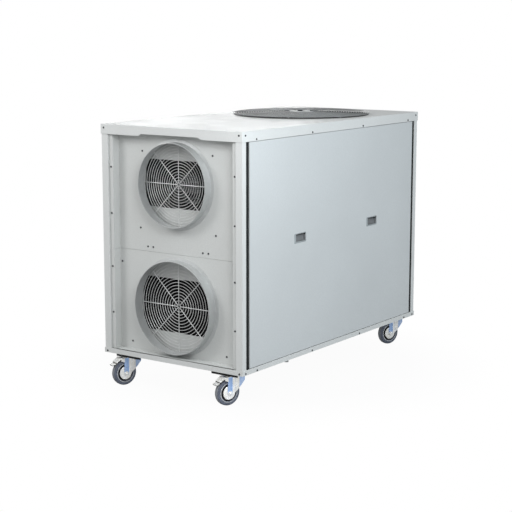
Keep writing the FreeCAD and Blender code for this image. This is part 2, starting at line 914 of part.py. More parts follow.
def blower_impeller():
    """A double-width forward-curved wheel."""
    half = size(185)
    body = new_body("blower_impeller")
    disc = new_sketch(body, "WheelDisc", "YZ_Plane", -2)
    circle(disc, 0, 0, d.wheel_radius - 2)
    pad(body, disc, 4)
    hub = new_sketch(body, "WheelHub", "YZ_Plane", -40)
    circle(hub, 0, 0, 30)
    pad(body, hub, 80)
    blade = new_sketch(body, "WheelBlade", "YZ_Plane", -half)
    outline(blade, [
        (d.wheel_radius - 26, -4),
        (d.wheel_radius - 2, 2),
        (d.wheel_radius - 2, 4),
        (d.wheel_radius - 26, -2),
    ])
    feature = pad(body, blade, half * 2)
    doc.recompute()
    around(body, feature, "X_Axis", d.wheel_blades)
    for name, start in (("WheelRingA", -half), ("WheelRingB", half - 6)):
        ring = new_sketch(body, name, "YZ_Plane", start)
        circle(ring, 0, 0, d.wheel_radius)
        circle(ring, 0, 0, d.wheel_radius - 27)
        pad(body, ring, 6)
    bore = new_sketch(body, "WheelBore", "YZ_Plane", 40)
    circle(bore, 0, 0, BLOWER_SHAFT + d.running_gap)
    pocket(body, bore, 80)
    place(body, 0, BLOWER_Y, d.blower_height)


def blower_motor():
    """A foot-mounted motor beside the scroll with the shaft that carries the wheel."""
    face = d.outlet_width / 2 + 8
    frame = rod("MotorFrame", 72, face, BLOWER_Y, d.blower_height, 135, (1, 0, 0))
    shaft = rod("MotorShaft", BLOWER_SHAFT, -195, BLOWER_Y, d.blower_height, face + 200, (1, 0, 0))
    foot = box(
        "MotorFoot",
        (face + 20, face + 115),
        (BLOWER_Y - 60, BLOWER_Y + 60),
        (SHELF_TOP, d.blower_height - 50),
    )
    fuse("blower_motor", frame, shaft, foot)


def divider_shelf():
    half = JAMB_X - 2
    y = (-(BAFFLE_Y - 0.2), -(d.bulkhead_offset + 0.2))
    plate = box("ShelfPlate", (-half, half), y, (SHELF_Z, SHELF_TOP))
    opening = box("ShelfOpening", (-200, 200), (-330, -150), (SHELF_Z - 5, SHELF_TOP + 5))
    cut("divider_shelf", plate, opening)


PIPE_HOLES = ((-250, 500), (-210, 560))
PIPE_RADIUS = 9


def bulkhead():
    """The wall between the air handling section and the condensing section."""
    half = JAMB_X - 2
    wall = box("BulkheadWall", (-half, half), (-d.bulkhead_offset, -d.bulkhead_offset + d.sheet),
               (FLOOR_TOP, PANEL_HIGH))
    holes = [
        rod(f"BulkheadHole{index}", PIPE_RADIUS + 4, x, -d.bulkhead_offset - 5, z, 12, (0, 1, 0))
        for index, (x, z) in enumerate(PIPE_HOLES)
    ]
    cut("bulkhead", wall, *holes)


def finned_coil(name, half_x, y, z, foot_z):
    """A fin pack on a core of tubes, between two end plates that stand on the floor."""
    fins = 40
    thickness = 3
    middle = (size(y[0]) + y[1]) / 2
    body = new_body(name)
    core = new_sketch(body, name + "_core", "XY_Plane", z[0])
    rectangle(core, (-half_x, half_x), (middle - 12, middle + 12))
    pad(body, core, size(z[1]) - z[0])
    fin = new_sketch(body, name + "_fin", "XY_Plane", z[0])
    first = size(half_x) * (-1) + 12
    rectangle(fin, (first, first + thickness), y)
    feature = pad(body, fin, size(z[1]) - z[0])
    doc.recompute()
    along(body, feature, "X_Axis", size(half_x) * 2 - 24 - thickness, fins)
    plates = new_sketch(body, name + "_plates", "XY_Plane", foot_z)
    for side in (-1, 1):
        rectangle(plates, span(half_x, size(half_x) + thickness, side), y)
    pad(body, plates, size(z[1]) + 4 - foot_z)


EVAPORATOR_X = 270
EVAPORATOR_Y = (-570, -470)
TRAY_Z = (size(196), size(226))


def drip_tray():
    """The condensate tray on four legs, with a drain neck through the base and a hose stub below it."""
    x = (-300, 355)
    y = (-600, -300)
    pan = box("TrayPan", x, y, TRAY_Z)
    legs = [
        box(f"TrayLeg{index}", (leg_x, leg_x + 20), (leg_y, leg_y + 20), (FLOOR_TOP, TRAY_Z[0]))
        for index, (leg_x, leg_y) in enumerate(
            (leg_x, leg_y) for leg_x in (x[0], x[1] - 20) for leg_y in (y[0], y[1] - 60)
        )
    ]
    neck_low = d.drain_low + d.drain_stub
    neck = rod("TrayNeck", d.drain_radius - 1, d.drain_x, -d.drain_y, neck_low - 1, TRAY_Z[0] - neck_low + 1)
    stub = rod("TrayStub", d.drain_radius, d.drain_x, -d.drain_y, d.drain_low, d.drain_stub)
    hollow = box("TrayInside", (x[0] + 2, x[1] - 2), (y[0] + 2, y[1] - 2), (TRAY_Z[0] + 2, TRAY_Z[1] + 2))
    bore = rod("TrayBore", d.drain_radius - 2, d.drain_x, -d.drain_y, d.drain_low - 2, 120)
    cut("drip_tray", fuse("TrayBody", pan, neck, stub, *legs), hollow, bore)


def air_filter():
    """A pleated panel filter in a frame behind the return opening."""
    half = d.inlet_width / 2 + 12
    low = d.inlet_low - 14
    high = d.inlet_high + 14
    front = BAFFLE_Y - d.sheet
    body = new_body("air_filter")
    frame = new_sketch(body, "FilterFrame", "XZ_Plane", front - 46)
    rectangle(frame, (-half, half), (low, high))
    rectangle(frame, (-half + 12, half - 12), (low + 12, high - 12))
    pad(body, frame, 45)
    slat = new_sketch(body, "FilterPleat", "XZ_Plane", front - 40)
    rectangle(slat, (-half + 11, half - 11), (low + 20, low + 24))
    feature = pad(body, slat, 34)
    doc.recompute()
    along(body, feature, "Z_Axis", high - low - 44, 18)
    back = new_sketch(body, "FilterBack", "XZ_Plane", front - 42)
    rectangle(back, (-half + 11, half - 11), (low + 11, high - 11))
    pad(body, back, 3)


# ----------------------------------------------------------------------------------------------
# Condensing section
# ----------------------------------------------------------------------------------------------

COMPRESSOR_X = -150
COMPRESSOR_Y = 150
SUCTION_PORT_X = PIPE_HOLES[1][0]
SUCTION_PORT_Z = 240
SUCTION_PORT_REACH = 95


def compressor():
    body = new_body("compressor")
    shell = new_sketch(body, "CompressorShell", "XZ_Plane")
    outline(shell, [(0, 192), (70, 192), (84, 206), (84, 520), (62, 548), (24, 560), (0, 560)])
    revolve(body, shell, "Z_Axis")
    plate = new_sketch(body, "CompressorPlate", "XY_Plane", 184)
    rectangle(plate, (-105, 105), (-105, 105))
    pad(body, plate, 8.5)
    mounts = new_sketch(body, "CompressorMounts", "XY_Plane", FLOOR_TOP)
    for x in (-88, 88):
        for y in (-88, 88):
            circle(mounts, x, y, 15)
    pad(body, mounts, 184.5 - FLOOR_TOP)
    terminal = new_sketch(body, "CompressorTerminals", "XZ_Plane", 70)
    rectangle(terminal, (-35, 35), (380, 460))
    pad(body, terminal, 45)
    port = new_sketch(body, "CompressorPort", "XZ_Plane", SUCTION_PORT_REACH - 45)
    circle(port, SUCTION_PORT_X - COMPRESSOR_X, SUCTION_PORT_Z, PIPE_RADIUS + 4)
    pad(body, port, 45)
    place(body, COMPRESSOR_X, COMPRESSOR_Y, 0)


def pipe(points, radius, bend):
    """A round pipe along straight runs, with each inner corner rounded to a bend radius."""
    points = [FreeCAD.Vector(*point) for point in points]
    edges = []
    start = points[0]
    for before, corner, after in zip(points, points[1:], points[2:]):
        arrive = (corner - before).normalize()
        leave = (after - corner).normalize()
        inner = (leave - arrive).normalize()
        entry = corner - arrive * bend
        departure = corner + leave * bend
        apex = corner + inner * (bend * (math.sqrt(2) - 1))
        edges.append(Part.makeLine(start, entry))
        edges.append(Part.Arc(entry, apex, departure).toShape())
        start = departure
    edges.append(Part.makeLine(start, points[-1]))
    section = Part.Wire(Part.makeCircle(radius, points[0], points[1] - points[0]))
    return Part.Wire(edges).makePipeShell([section], True)


def refrigerant_pipes():
    """Discharge, liquid and suction lines, with the filter drier in the liquid line."""
    coil_front = 690
    discharge = pipe([
        (COMPRESSOR_X, COMPRESSOR_Y, 560), (COMPRESSOR_X, COMPRESSOR_Y, 980),
        (COMPRESSOR_X, coil_front, 980),
    ], PIPE_RADIUS, 40)
    (liquid_x, liquid_z), (suction_x, suction_z) = PIPE_HOLES
    liquid = pipe([
        (liquid_x, coil_front, 460), (liquid_x, 400, 460), (liquid_x, 400, liquid_z),
        (liquid_x, EVAPORATOR_Y[1], liquid_z),
    ], 6, 15)
    drier = Part.makeCylinder(26, 130, FreeCAD.Vector(liquid_x, 200, liquid_z), FreeCAD.Vector(0, 1, 0))
    port_y = COMPRESSOR_Y - SUCTION_PORT_REACH
    drop_y = port_y - 45
    suction = pipe([
        (suction_x, EVAPORATOR_Y[1], suction_z), (suction_x, drop_y, suction_z),
        (suction_x, drop_y, SUCTION_PORT_Z), (suction_x, port_y, SUCTION_PORT_Z),
    ], PIPE_RADIUS, 30)
    lines = [discharge, liquid.fuse(drier), suction]
    free_shape("refrigerant_pipes", Part.makeCompound(lines))


def electrical_box():
    case = box("ElectricalCase", (60, 340), (-d.bulkhead_offset + d.sheet, 30), (700, 1060))
    lid = box("ElectricalLid", (55, 345), (30, 38), (695, 1065))
    fuse("electrical_box", case, lid)


# ----------------------------------------------------------------------------------------------
# Fasteners
# ----------------------------------------------------------------------------------------------


def hexagon(radius, z):
    corners = []
    for index in range(7):
        angle = math.radians(60 * index)
        corners.append(FreeCAD.Vector(radius * math.cos(angle), radius * math.sin(angle), z))
    return Part.Face(Part.makePolygon(corners))


def button_head():
    """A low conical head with a hexagon socket, standing on the XY plane."""
    head = Part.makeCone(5, 3.6, 2.6)
    socket = hexagon(1.9, 1.2).extrude(FreeCAD.Vector(0, 0, 2))
    return head.cut(socket)


def cabinet_screws():
    """The button-head screws of the cap, base, posts and panels, as separate solids."""
    front = HALF_LENGTH.value
    side_x = HALF_WIDTH.value
    flange_y = REAR_Y.value
    recess = RECESS_Y.value
    post_heights = (366, 593, 853, 1077)
    places = []
    for x in (-399, 399):
        for z in (170, 1264):
            places.append(((x, -front, z), (0, -1, 0)))
            places.append(((x, front, z), (0, 1, 0)))
    for x in (-366.5, 366.5):
        for z in post_heights:
            places.append(((x, -flange_y, z), (0, -1, 0)))
            places.append(((x, flange_y, z), (0, 1, 0)))
    for side in (-1, 1):
        for y, z in ((786, 1263.5), (700, 1242), (235, 1242), (786, 170), (695, 168), (225, 168)):
            for end in (-1, 1):
                places.append(((side * side_x, end * y, z), (side, 0, 0)))
        for x, z in ((209, 1158.5), (181.5, 701), (149, 701), (344, 614), (285, 223.5)):
            places.append(((side * x, -recess, z), (0, -1, 0)))
        places.append(((side * 225, -recess, 789), (0, -1, 0)))
    head = button_head()
    heads = []
    for point, direction in places:
        copy = head.copy()
        rotation = FreeCAD.Rotation(FreeCAD.Vector(0, 0, 1), FreeCAD.Vector(*direction))
        copy.Placement = FreeCAD.Placement(FreeCAD.Vector(*point), rotation)
        heads.append(copy)
    free_shape("cabinet_screws", Part.makeCompound(heads))


def hexagon_head(width, height):
    return hexagon(width / math.sqrt(3), 0).extrude(FreeCAD.Vector(0, 0, -height))


# ----------------------------------------------------------------------------------------------
# Casters. Each is drawn about its swivel axis, with the floor at Z = 0 and the wheel trailing
# towards -Y, and is then turned to the heading that all four share.
# ----------------------------------------------------------------------------------------------

CORNERS = {
    "front_left": (-1, -1),
    "front_right": (1, -1),
    "rear_left": (-1, 1),
    "rear_right": (1, 1),
}
CHANNEL_LOW = d.base_bottom - 4
PLATE_LOW = CHANNEL_LOW - 4
RACE_LOW = PLATE_LOW - 6
CROWN_TOP = RACE_LOW - 6
CROWN_LOW = CROWN_TOP - d.fork_wall
HEADING = turned((0, 0, 1), -d.caster_yaw.value)
LEG_X = d.fork_gap / 2


def corner_point(corner):
    side, end = CORNERS[corner]
    y = d.caster_rear_y if end > 0 else -d.caster_front_y
    return d.caster_x * side, y


def caster_channels():
    """Inverted channels under the base; the plate of each caster sits between their lips."""
    channels = []
    half_x = d.channel_length / 2
    half_y = d.channel_width / 2
    wall = d.channel_wall
    low = d.base_bottom - d.channel_drop
    for corner, (side, _) in CORNERS.items():
        x = d.channel_x * side
        _, y = corner_point(corner)
        across = (x - half_x, x + half_x)
        web = box(f"Channel_{corner}", across, (y - half_y, y + half_y), (CHANNEL_LOW, d.base_bottom))
        lips = [
            box(f"ChannelLip_{corner}_{name}", across, (start, start + wall), (low, CHANNEL_LOW + 1))
            for name, start in (("front", y - half_y), ("rear", y + half_y - wall))
        ]
        channels.append(fuse(f"ChannelWeld_{corner}", web, *lips))
    group("caster_channels", *channels)


def caster_top_plates():
    """Bolt-on plates, each with the fixed raceway and the kingpin of its caster."""
    plates = []
    for corner in CORNERS:
        x, y = corner_point(corner)
        plate = box(
            f"Plate_{corner}",
            (x - d.plate_half_x, x + d.plate_half_x),
            (y - d.plate_half_y, y + d.plate_half_y),
            (PLATE_LOW, CHANNEL_LOW),
        )
        race = rod(f"Race_{corner}", d.race_radius, x, y, RACE_LOW + 0.2, PLATE_LOW - RACE_LOW)
        kingpin = rod(f"Kingpin_{corner}", d.kingpin_radius, x, y, CROWN_LOW - 7, 20)
        rivet = rod(f"Rivet_{corner}", d.kingpin_radius + 5, x, y, CROWN_LOW - 7, 4)
        plates.append(fuse(f"Head_{corner}", plate, race, kingpin, rivet))
    group("caster_top_plates", *plates)


def caster_bolts():
    """Sixteen hexagon heads under the caster plates, as separate solids."""
    head = hexagon_head(13, 5)
    bolt_x = d.plate_bolt_x.value
    bolt_y = d.plate_bolt_y.value
    bolts = []
    for corner in CORNERS:
        x, y = (coordinate.value for coordinate in corner_point(corner))
        for across in (-bolt_x, bolt_x):
            for lengthwise in (-bolt_y, bolt_y):
                copy = head.copy()
                copy.translate(FreeCAD.Vector(x + across, y + lengthwise, PLATE_LOW.value))
                bolts.append(copy)
    free_shape("caster_bolts", Part.makeCompound(bolts))


def caster_fork(corner):
    """The swivelling fork, with its axle, thread guards and pedal pin as separate solids."""
    name = f"caster_fork_{corner}"
    axle_y = -d.caster_trail
    axle_z = d.tyre_radius
    outer = LEG_X + d.fork_wall
    ear = -(d.pedal_pivot_trail + 6)
    body = new_body(name + "_body")
    crown = new_sketch(body, name + "_crown", "XY_Plane", CROWN_LOW)
    rectangle(crown, (-outer, outer), (-d.fork_trailing, d.fork_leading))
    pad(body, crown, d.fork_wall)
    bowl = new_sketch(body, name + "_bowl", "XY_Plane", CROWN_TOP)
    circle(bowl, 0, 0, d.bowl_radius)
    pad(body, bowl, RACE_LOW - CROWN_TOP)
    for leg, start in (("leg_a", LEG_X), ("leg_b", -outer)):
        side = new_sketch(body, f"{name}_{leg}", "YZ_Plane", start)
        outline(side, [
            (ear, CROWN_TOP - 2),
            (-d.fork_trailing, CROWN_TOP - 0.5),
            (d.fork_leading, CROWN_TOP - 0.5),
            (d.fork_leading, CROWN_LOW - 22),
            (axle_y + 61, axle_z + 28),
            (axle_y + 32, axle_z + 3),
            (axle_y + 22, axle_z - 6),
            (axle_y + 10, axle_z - 12),
            (axle_y - 5, axle_z - 12),
            (axle_y - 10, axle_z - 4),
            (-d.fork_trailing, CROWN_LOW - 20),
            (ear, CROWN_LOW - 13),
        ])
        pad(body, side, d.fork_wall)
    kingpin = new_sketch(body, name + "_kingpin_bore", "XY_Plane", RACE_LOW)
    circle(kingpin, 0, 0, d.kingpin_radius + d.running_gap)
    pocket(body, kingpin, 12)
    bores = new_sketch(body, name + "_bores", "YZ_Plane", outer)
    circle(bores, axle_y, axle_z, d.axle_radius)
    circle(bores, -d.pedal_pivot_trail, d.pedal_pivot_height, d.pedal_pin_radius)
    pocket(body, bores, outer * 2)
    bolt = fuse(
        name + "_axle",
        rod(name + "_axle_rod", d.axle_radius, -outer - 9, axle_y, axle_z, outer * 2 + 12, (1, 0, 0)),
        rod(name + "_axle_head", 9, outer, axle_y, axle_z, 5, (1, 0, 0)),
        rod(name + "_axle_nut", 9, -outer - 7, axle_y, axle_z, 7, (1, 0, 0)),
    )
    discs = []
    for disc, start in (("disc_a", LEG_X - 1.6), ("disc_b", 0.2 - LEG_X)):
        plate = rod(f"{name}_{disc}_plate", d.disc_radius, start, axle_y, axle_z, 1.4, (1, 0, 0))
        bore = rod(f"{name}_{disc}_bore", d.axle_radius, start - 1, axle_y, axle_z, 4, (1, 0, 0))
        discs.append(cut(f"{name}_{disc}", plate, bore))
    pin = rod(
        name + "_pin", d.pedal_pin_radius, -outer, -d.pedal_pivot_trail, d.pedal_pivot_height,
        outer * 2, (1, 0, 0),
    )
    assembly = group(name, body, bolt, *discs, pin)
    x, y = corner_point(corner)
    place(assembly, x, y, 0, HEADING)


def wheel_centre(corner):
    x, y = corner_point(corner)
    return (
        x - d.caster_trail * sine(d.caster_yaw),
        y - d.caster_trail * cosine(d.caster_yaw),
        d.tyre_radius,
    )


def caster_tyre(corner):
    half = d.tyre_width / 2
    body = new_body(f"caster_tyre_{corner}")
    section = new_sketch(body, f"tyre_{corner}_section", "XY_Plane")
    tread = d.tyre_radius
    outline(section, [
        (-half, d.rim_radius),
        (half, d.rim_radius),
        (half, tread - 7),
        (half - 3, tread - 3),
        (half - 9, tread),
        (9 - half, tread),
        (3 - half, tread - 3),
        (-half, tread - 7),
    ])
    revolve(body, section, "X_Axis")
    place(body, *wheel_centre(corner), HEADING)


def caster_rim(corner):
    half = d.tyre_width / 2 - 1
    hub = LEG_X - 2
    bore = d.axle_radius + d.running_gap
    body = new_body(f"caster_rim_{corner}")
    section = new_sketch(body, f"rim_{corner}_section", "XY_Plane")
    outline(section, [
        (-hub, bore),
        (hub, bore),
        (hub, 14),
        (5, 18),
        (5, 36),
        (half, 39),
        (half, d.rim_radius),
        (-half, d.rim_radius),
        (-half, 39),
        (-5, 36),
        (-5, 18),
        (-hub, 14),
    ])
    revolve(body, section, "X_Axis")
    place(body, *wheel_centre(corner), HEADING)


def brake_pedal(corner):
    """A pressed pedal: a tread plate that steps down to a narrower lip, and a shoe above the tyre."""
    name = f"brake_pedal_{corner}"
    half = d.pedal_width / 2
    reach = -d.pedal_reach
    body = new_body(name)
    hub = new_sketch(body, name + "_hub", "YZ_Plane", -half)
    circle(hub, 0, 0, 6.4)
    pad(body, hub, d.pedal_width)
    plate = new_sketch(body, name + "_plate", "YZ_Plane", -half)
    outline(plate, [(0.5, 8.2), (-29, -9.5), (-31, -19), (-28, -19), (-26, -12), (-1, 3)])
    pad(body, plate, d.pedal_width)
    lip = new_sketch(body, name + "_lip", "YZ_Plane", -d.pedal_lip_width / 2)
    outline(lip, [(-27, -15), (reach, -21.5), (reach, -25), (-27, -18.7)])
    pad(body, lip, d.pedal_lip_width)
    shoe = new_sketch(body, name + "_shoe", "YZ_Plane", -d.pedal_shoe_width / 2)
    outline(shoe, [(-3, 0), (-15, -3), (-15, -11), (-11, -12), (-3, -5)])
    pad(body, shoe, d.pedal_shoe_width)
    bore = new_sketch(body, name + "_bore", "YZ_Plane", half)
    circle(bore, 0, 0, d.pedal_pin_radius + d.running_gap)
    pocket(body, bore, d.pedal_width)
    x, y = corner_point(corner)
    place(
        body,
        x - d.pedal_pivot_trail * sine(d.caster_yaw),
        y - d.pedal_pivot_trail * cosine(d.caster_yaw),
        d.pedal_pivot_height,
        HEADING,
    )


# ----------------------------------------------------------------------------------------------
# Assembly and export
# ----------------------------------------------------------------------------------------------

NODES = [
    "base_tray", "roof_cap", "post_front_left", "post_front_right", "post_rear_left",
    "post_rear_right", "duct_panel_upper", "duct_panel_lower", "supply_collar", "return_collar",
    "supply_guard", "return_guard", "baffle_plate", "side_panel_left", "side_panel_right",
    "panel_pulls_left", "panel_pulls_right", "panel_seals", "rear_panel", "condenser_guard",
    "control_panel", "isolator_knob", "humidistat_knob", "power_inlet", "fan_venturi", "fan_guard",
    "fan_motor", "fan_impeller", "blower_housing", "blower_impeller", "blower_motor",
    "divider_shelf", "bulkhead", "evaporator_coil", "condenser_coil", "drip_tray", "air_filter",
    "compressor", "refrigerant_pipes", "electrical_box", "cabinet_screws", "caster_channels",
    "caster_top_plates", "caster_bolts",
]
for caster_part in ("caster_fork", "caster_tyre", "caster_rim", "brake_pedal"):
    NODES += [f"{caster_part}_{corner}" for corner in CORNERS]


def build():
    base_tray()
    roof_cap()
    for corner, (side, end) in CORNERS.items():
        corner_post(f"post_{corner}", side, end)
    duct_panel("duct_panel_upper", d.duct_panel_seam + 0.5, CAP_BOTTOM + 20, CAP_BOTTOM + 18,
               d.supply_height, d.supply_radius)
    duct_panel("duct_panel_lower", BASE_TOP, d.duct_panel_seam - 0.5, BASE_TOP,
               d.return_height, d.return_radius)
    duct_collar("supply_collar", d.supply_height, d.supply_radius, d.supply_rim_setback)
    duct_collar("return_collar", d.return_height, d.return_radius, d.return_rim_setback)
    duct_guard("supply_guard", d.supply_height, d.supply_radius, d.supply_guard_depth,
               d.supply_ring_inner, d.supply_ring_pitch)
    duct_guard("return_guard", d.return_height, d.return_radius, d.return_guard_depth,
               d.return_ring_inner, d.return_ring_pitch)
    baffle_plate()
    for name, side in (("left", -1), ("right", 1)):
        side_panel(f"side_panel_{name}", side)
        panel_pulls(f"panel_pulls_{name}", side)
    panel_seals()
    rear_panel()
    condenser_guard()
    control_panel()
    knob("isolator_knob", ISOLATOR_X, 24, size(46), size(12))
    knob("humidistat_knob", HUMIDISTAT_X, 17, size(32), size(6))
    power_inlet()
    fan_venturi()
    fan_guard()
    fan_motor()
    fan_impeller()
    blower_housing()
    blower_impeller()
    blower_motor()
    divider_shelf()
    bulkhead()
    finned_coil("evaporator_coil", EVAPORATOR_X, EVAPORATOR_Y, (236, 600), TRAY_Z[0] + 2)
    finned_coil("condenser_coil", 300, (690, 770), (400, 1060), FLOOR_TOP)
    drip_tray()
    air_filter()
    compressor()
    refrigerant_pipes()
    electrical_box()
    cabinet_screws()
    caster_channels()
    caster_top_plates()
    caster_bolts()
    for corner in CORNERS:
        caster_fork(corner)
        caster_tyre(corner)
        caster_rim(corner)
        brake_pedal(corner)
    doc.recompute()


def check():
    for item in doc.Objects:
        if "Invalid" in item.State or "Error" in item.State:
            raise ValueError(f"{item.Name} did not recompute: {item.State}")
    for name in NODES:
        item = doc.getObject(name)
        if item is None or item.Label != name:
            raise ValueError(f"{name} is missing")
        if item.Shape.isNull() or not item.Shape.isValid():
            raise ValueError(f"{name} has no valid shape")


def export():
    os.makedirs("parts", exist_ok=True)
    for name in NODES:
        doc.getObject(name).Shape.exportStep(f"parts/{name}.step")


build()
check()
export()
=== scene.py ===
import json
import math

import bmesh
import bpy
from mathutils import Matrix, Vector

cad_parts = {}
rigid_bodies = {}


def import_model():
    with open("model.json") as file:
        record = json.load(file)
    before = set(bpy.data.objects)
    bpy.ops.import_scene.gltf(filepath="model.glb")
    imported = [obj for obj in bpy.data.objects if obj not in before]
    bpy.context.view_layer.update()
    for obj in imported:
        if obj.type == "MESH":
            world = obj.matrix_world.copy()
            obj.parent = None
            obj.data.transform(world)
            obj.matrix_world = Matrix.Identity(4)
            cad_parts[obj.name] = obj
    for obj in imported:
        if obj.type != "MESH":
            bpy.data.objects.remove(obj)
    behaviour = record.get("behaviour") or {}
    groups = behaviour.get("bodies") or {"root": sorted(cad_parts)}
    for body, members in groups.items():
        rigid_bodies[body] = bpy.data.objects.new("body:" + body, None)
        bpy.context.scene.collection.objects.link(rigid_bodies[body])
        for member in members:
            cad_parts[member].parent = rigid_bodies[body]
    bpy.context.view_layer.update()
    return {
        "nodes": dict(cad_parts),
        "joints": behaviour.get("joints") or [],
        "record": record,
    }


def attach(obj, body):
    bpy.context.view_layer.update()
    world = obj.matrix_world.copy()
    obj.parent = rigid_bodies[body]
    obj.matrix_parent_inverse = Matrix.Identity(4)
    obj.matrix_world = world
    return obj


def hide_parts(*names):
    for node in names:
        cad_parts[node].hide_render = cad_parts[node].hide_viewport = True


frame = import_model()

MM = 0.001
CORNERS = ("front_left", "front_right", "rear_left", "rear_right")
JOINTS = {joint["name"]: joint for joint in frame["joints"]}
NODES = frame["nodes"]
COLLECTION = bpy.context.scene.collection

# ----------------------------------------------------------------------------------------------
# Materials
# ----------------------------------------------------------------------------------------------


class Finish:
    """A procedural material: a Principled shader fed by a small graph of nodes."""

    def __init__(self, name, metallic=0.0, specular=0.5, coat=0.0):
        self.material = bpy.data.materials.new(name)
        self.material.use_nodes = True
        self.tree = self.material.node_tree
        self.tree.nodes.clear()
        self.output = self.tree.nodes.new("ShaderNodeOutputMaterial")
        self.shader = self.tree.nodes.new("ShaderNodeBsdfPrincipled")
        self.shader.inputs["Metallic"].default_value = metallic
        self.shader.inputs["Specular IOR Level"].default_value = specular
        self.shader.inputs["Coat Weight"].default_value = coat
        self.tree.links.new(self.shader.outputs["BSDF"], self.output.inputs["Surface"])
        self.place = self.node("ShaderNodeTexCoord").outputs["Object"]

    def node(self, kind, **inputs):
        """A new node; each keyword sets or links the input of that name."""
        node = self.tree.nodes.new(kind)
        for name, value in inputs.items():
            self.feed(node.inputs[name.replace("_", " ")], value)
        return node

    def feed(self, socket, value):
        if isinstance(value, bpy.types.NodeSocket):
            self.tree.links.new(value, socket)
        else:
            socket.default_value = value

    def noise(self, scale, detail=3.0, stretch=None):
        place = self.place
        if stretch is not None:
            mapping = self.node("ShaderNodeMapping", Vector=place, Scale=stretch)
            place = mapping.outputs["Vector"]
        return self.node("ShaderNodeTexNoise", Vector=place, Scale=scale, Detail=detail).outputs["Fac"]

    def cells(self, scale, output="Color"):
        node = self.node("ShaderNodeTexVoronoi", Vector=self.place, Scale=scale)
        return node.outputs[output]

    def spread(self, value, low, high, from_low=0.3, from_high=0.7):
        node = self.node("ShaderNodeMapRange", Value=value)
        node.inputs["From Min"].default_value = from_low
        node.inputs["From Max"].default_value = from_high
        node.inputs["To Min"].default_value = low
        node.inputs["To Max"].default_value = high
        return node.outputs["Result"]

    def math(self, operation, first, second):
        node = self.tree.nodes.new("ShaderNodeMath")
        node.operation = operation
        self.feed(node.inputs[0], first)
        self.feed(node.inputs[1], second)
        return node.outputs["Value"]

    def mix(self, factor, first, second, kind="MIX"):
        node = self.tree.nodes.new("ShaderNodeMix")
        node.data_type = "RGBA"
        node.blend_type = kind
        self.feed(node.inputs["Factor"], factor)
        self.feed(node.inputs[6], rgba(first))
        self.feed(node.inputs[7], rgba(second))
        return node.outputs[2]

    def mottled(self, color, low, high, scale, detail=3.0):
        """A colour that drifts between two shades of itself."""
        drift = self.spread(self.noise(scale, detail=detail), 0.0, 1.0)
        return self.mix(drift, shade(color, low), shade(color, high))

    def tint(self):
        """The piece's own "tint" layer, from 0 to 1; 0 where a piece has none."""
        layer = self.tree.nodes.new("ShaderNodeAttribute")
        layer.attribute_name = "tint"
        return layer.outputs["Fac"]

    def worn_edges(self, radius):
        """1 along convex and concave edges, 0 on flats."""
        rounded = self.node("ShaderNodeBevel", Radius=radius)
        rounded.samples = 4
        geometry = self.node("ShaderNodeNewGeometry")
        dot = self.tree.nodes.new("ShaderNodeVectorMath")
        dot.operation = "DOT_PRODUCT"
        self.feed(dot.inputs[0], rounded.outputs["Normal"])
        self.feed(dot.inputs[1], geometry.outputs["Normal"])
        return self.spread(dot.outputs["Value"], 1.0, 0.0, 0.80, 0.99)

    def corner_shade(self, distance):
        """1 in corners and gaps where ambient light is blocked, 0 on open surfaces: a mask for painted
        shade.
        """
        node = self.node("ShaderNodeAmbientOcclusion", Distance=distance)
        node.samples = 6
        return self.spread(node.outputs["AO"], 1.0, 0.0, 0.25, 0.95)

    def bump(self, *layers):
        """Layers of (height, distance in metres), the coarsest first."""
        normal = None
        for height, distance in layers:
            node = self.node("ShaderNodeBump", Height=height, Distance=distance)
            if normal is not None:
                self.feed(node.inputs["Normal"], normal)
            normal = node.outputs["Normal"]
        self.feed(self.shader.inputs["Normal"], normal)

    def finish(self, color, roughness):
        self.feed(self.shader.inputs["Base Color"], rgba(color))
        self.feed(self.shader.inputs["Roughness"], roughness)
        return self.material


def rgba(color):
    """A colour given as display values becomes a linear colour; a socket passes through."""
    if isinstance(color, bpy.types.NodeSocket):
        return color
    return tuple(linear(channel) for channel in color[:3]) + (1.0,)


def linear(channel):
    if channel <= 0.04045:
        return channel / 12.92
    return ((channel + 0.055) / 1.055) ** 2.4


def shade(color, factor):
    return tuple(channel * factor for channel in color)


def powder_coat(name, color):
    """Fine-textured powder coat: orange peel, faint mottling, dust and painted shade in corners, rubbed
    edges.
    """
    finish = Finish(name, specular=0.4)
    speckle = finish.noise(520.0, detail=2.0)
    peel = finish.noise(150.0)
    base = finish.mottled(color, 0.98, 1.012, 2.2, detail=4.0)
    base = finish.mix(finish.spread(speckle, 0.0, 0.3), base, shade(color, 0.93))
    base = finish.mix(finish.spread(peel, 0.0, 0.5), base, shade(color, 0.955))
    # Corners and gaps turn darker and warmer: dust, and painted shade.
    dust_and_shade = finish.math("MULTIPLY", finish.corner_shade(0.012), finish.spread(finish.noise(26.0), 0.05, 0.25))
    base = finish.mix(dust_and_shade, base, finish.mix(1.0, base, (0.80, 0.79, 0.77), "MULTIPLY"))
    rub = finish.math("MULTIPLY", finish.worn_edges(0.0012), finish.spread(finish.noise(60.0), 0.0, 0.5))
    base = finish.mix(rub, base, shade(color, 1.08))
    scuff = finish.noise(9.0, detail=6.0, stretch=(1.0, 1.0, 3.0))
    finish.bump((finish.noise(3.0), 0.0006), (finish.noise(260.0, detail=2.0), 0.00012))
    return finish.finish(base, finish.spread(scuff, 0.39, 0.55))


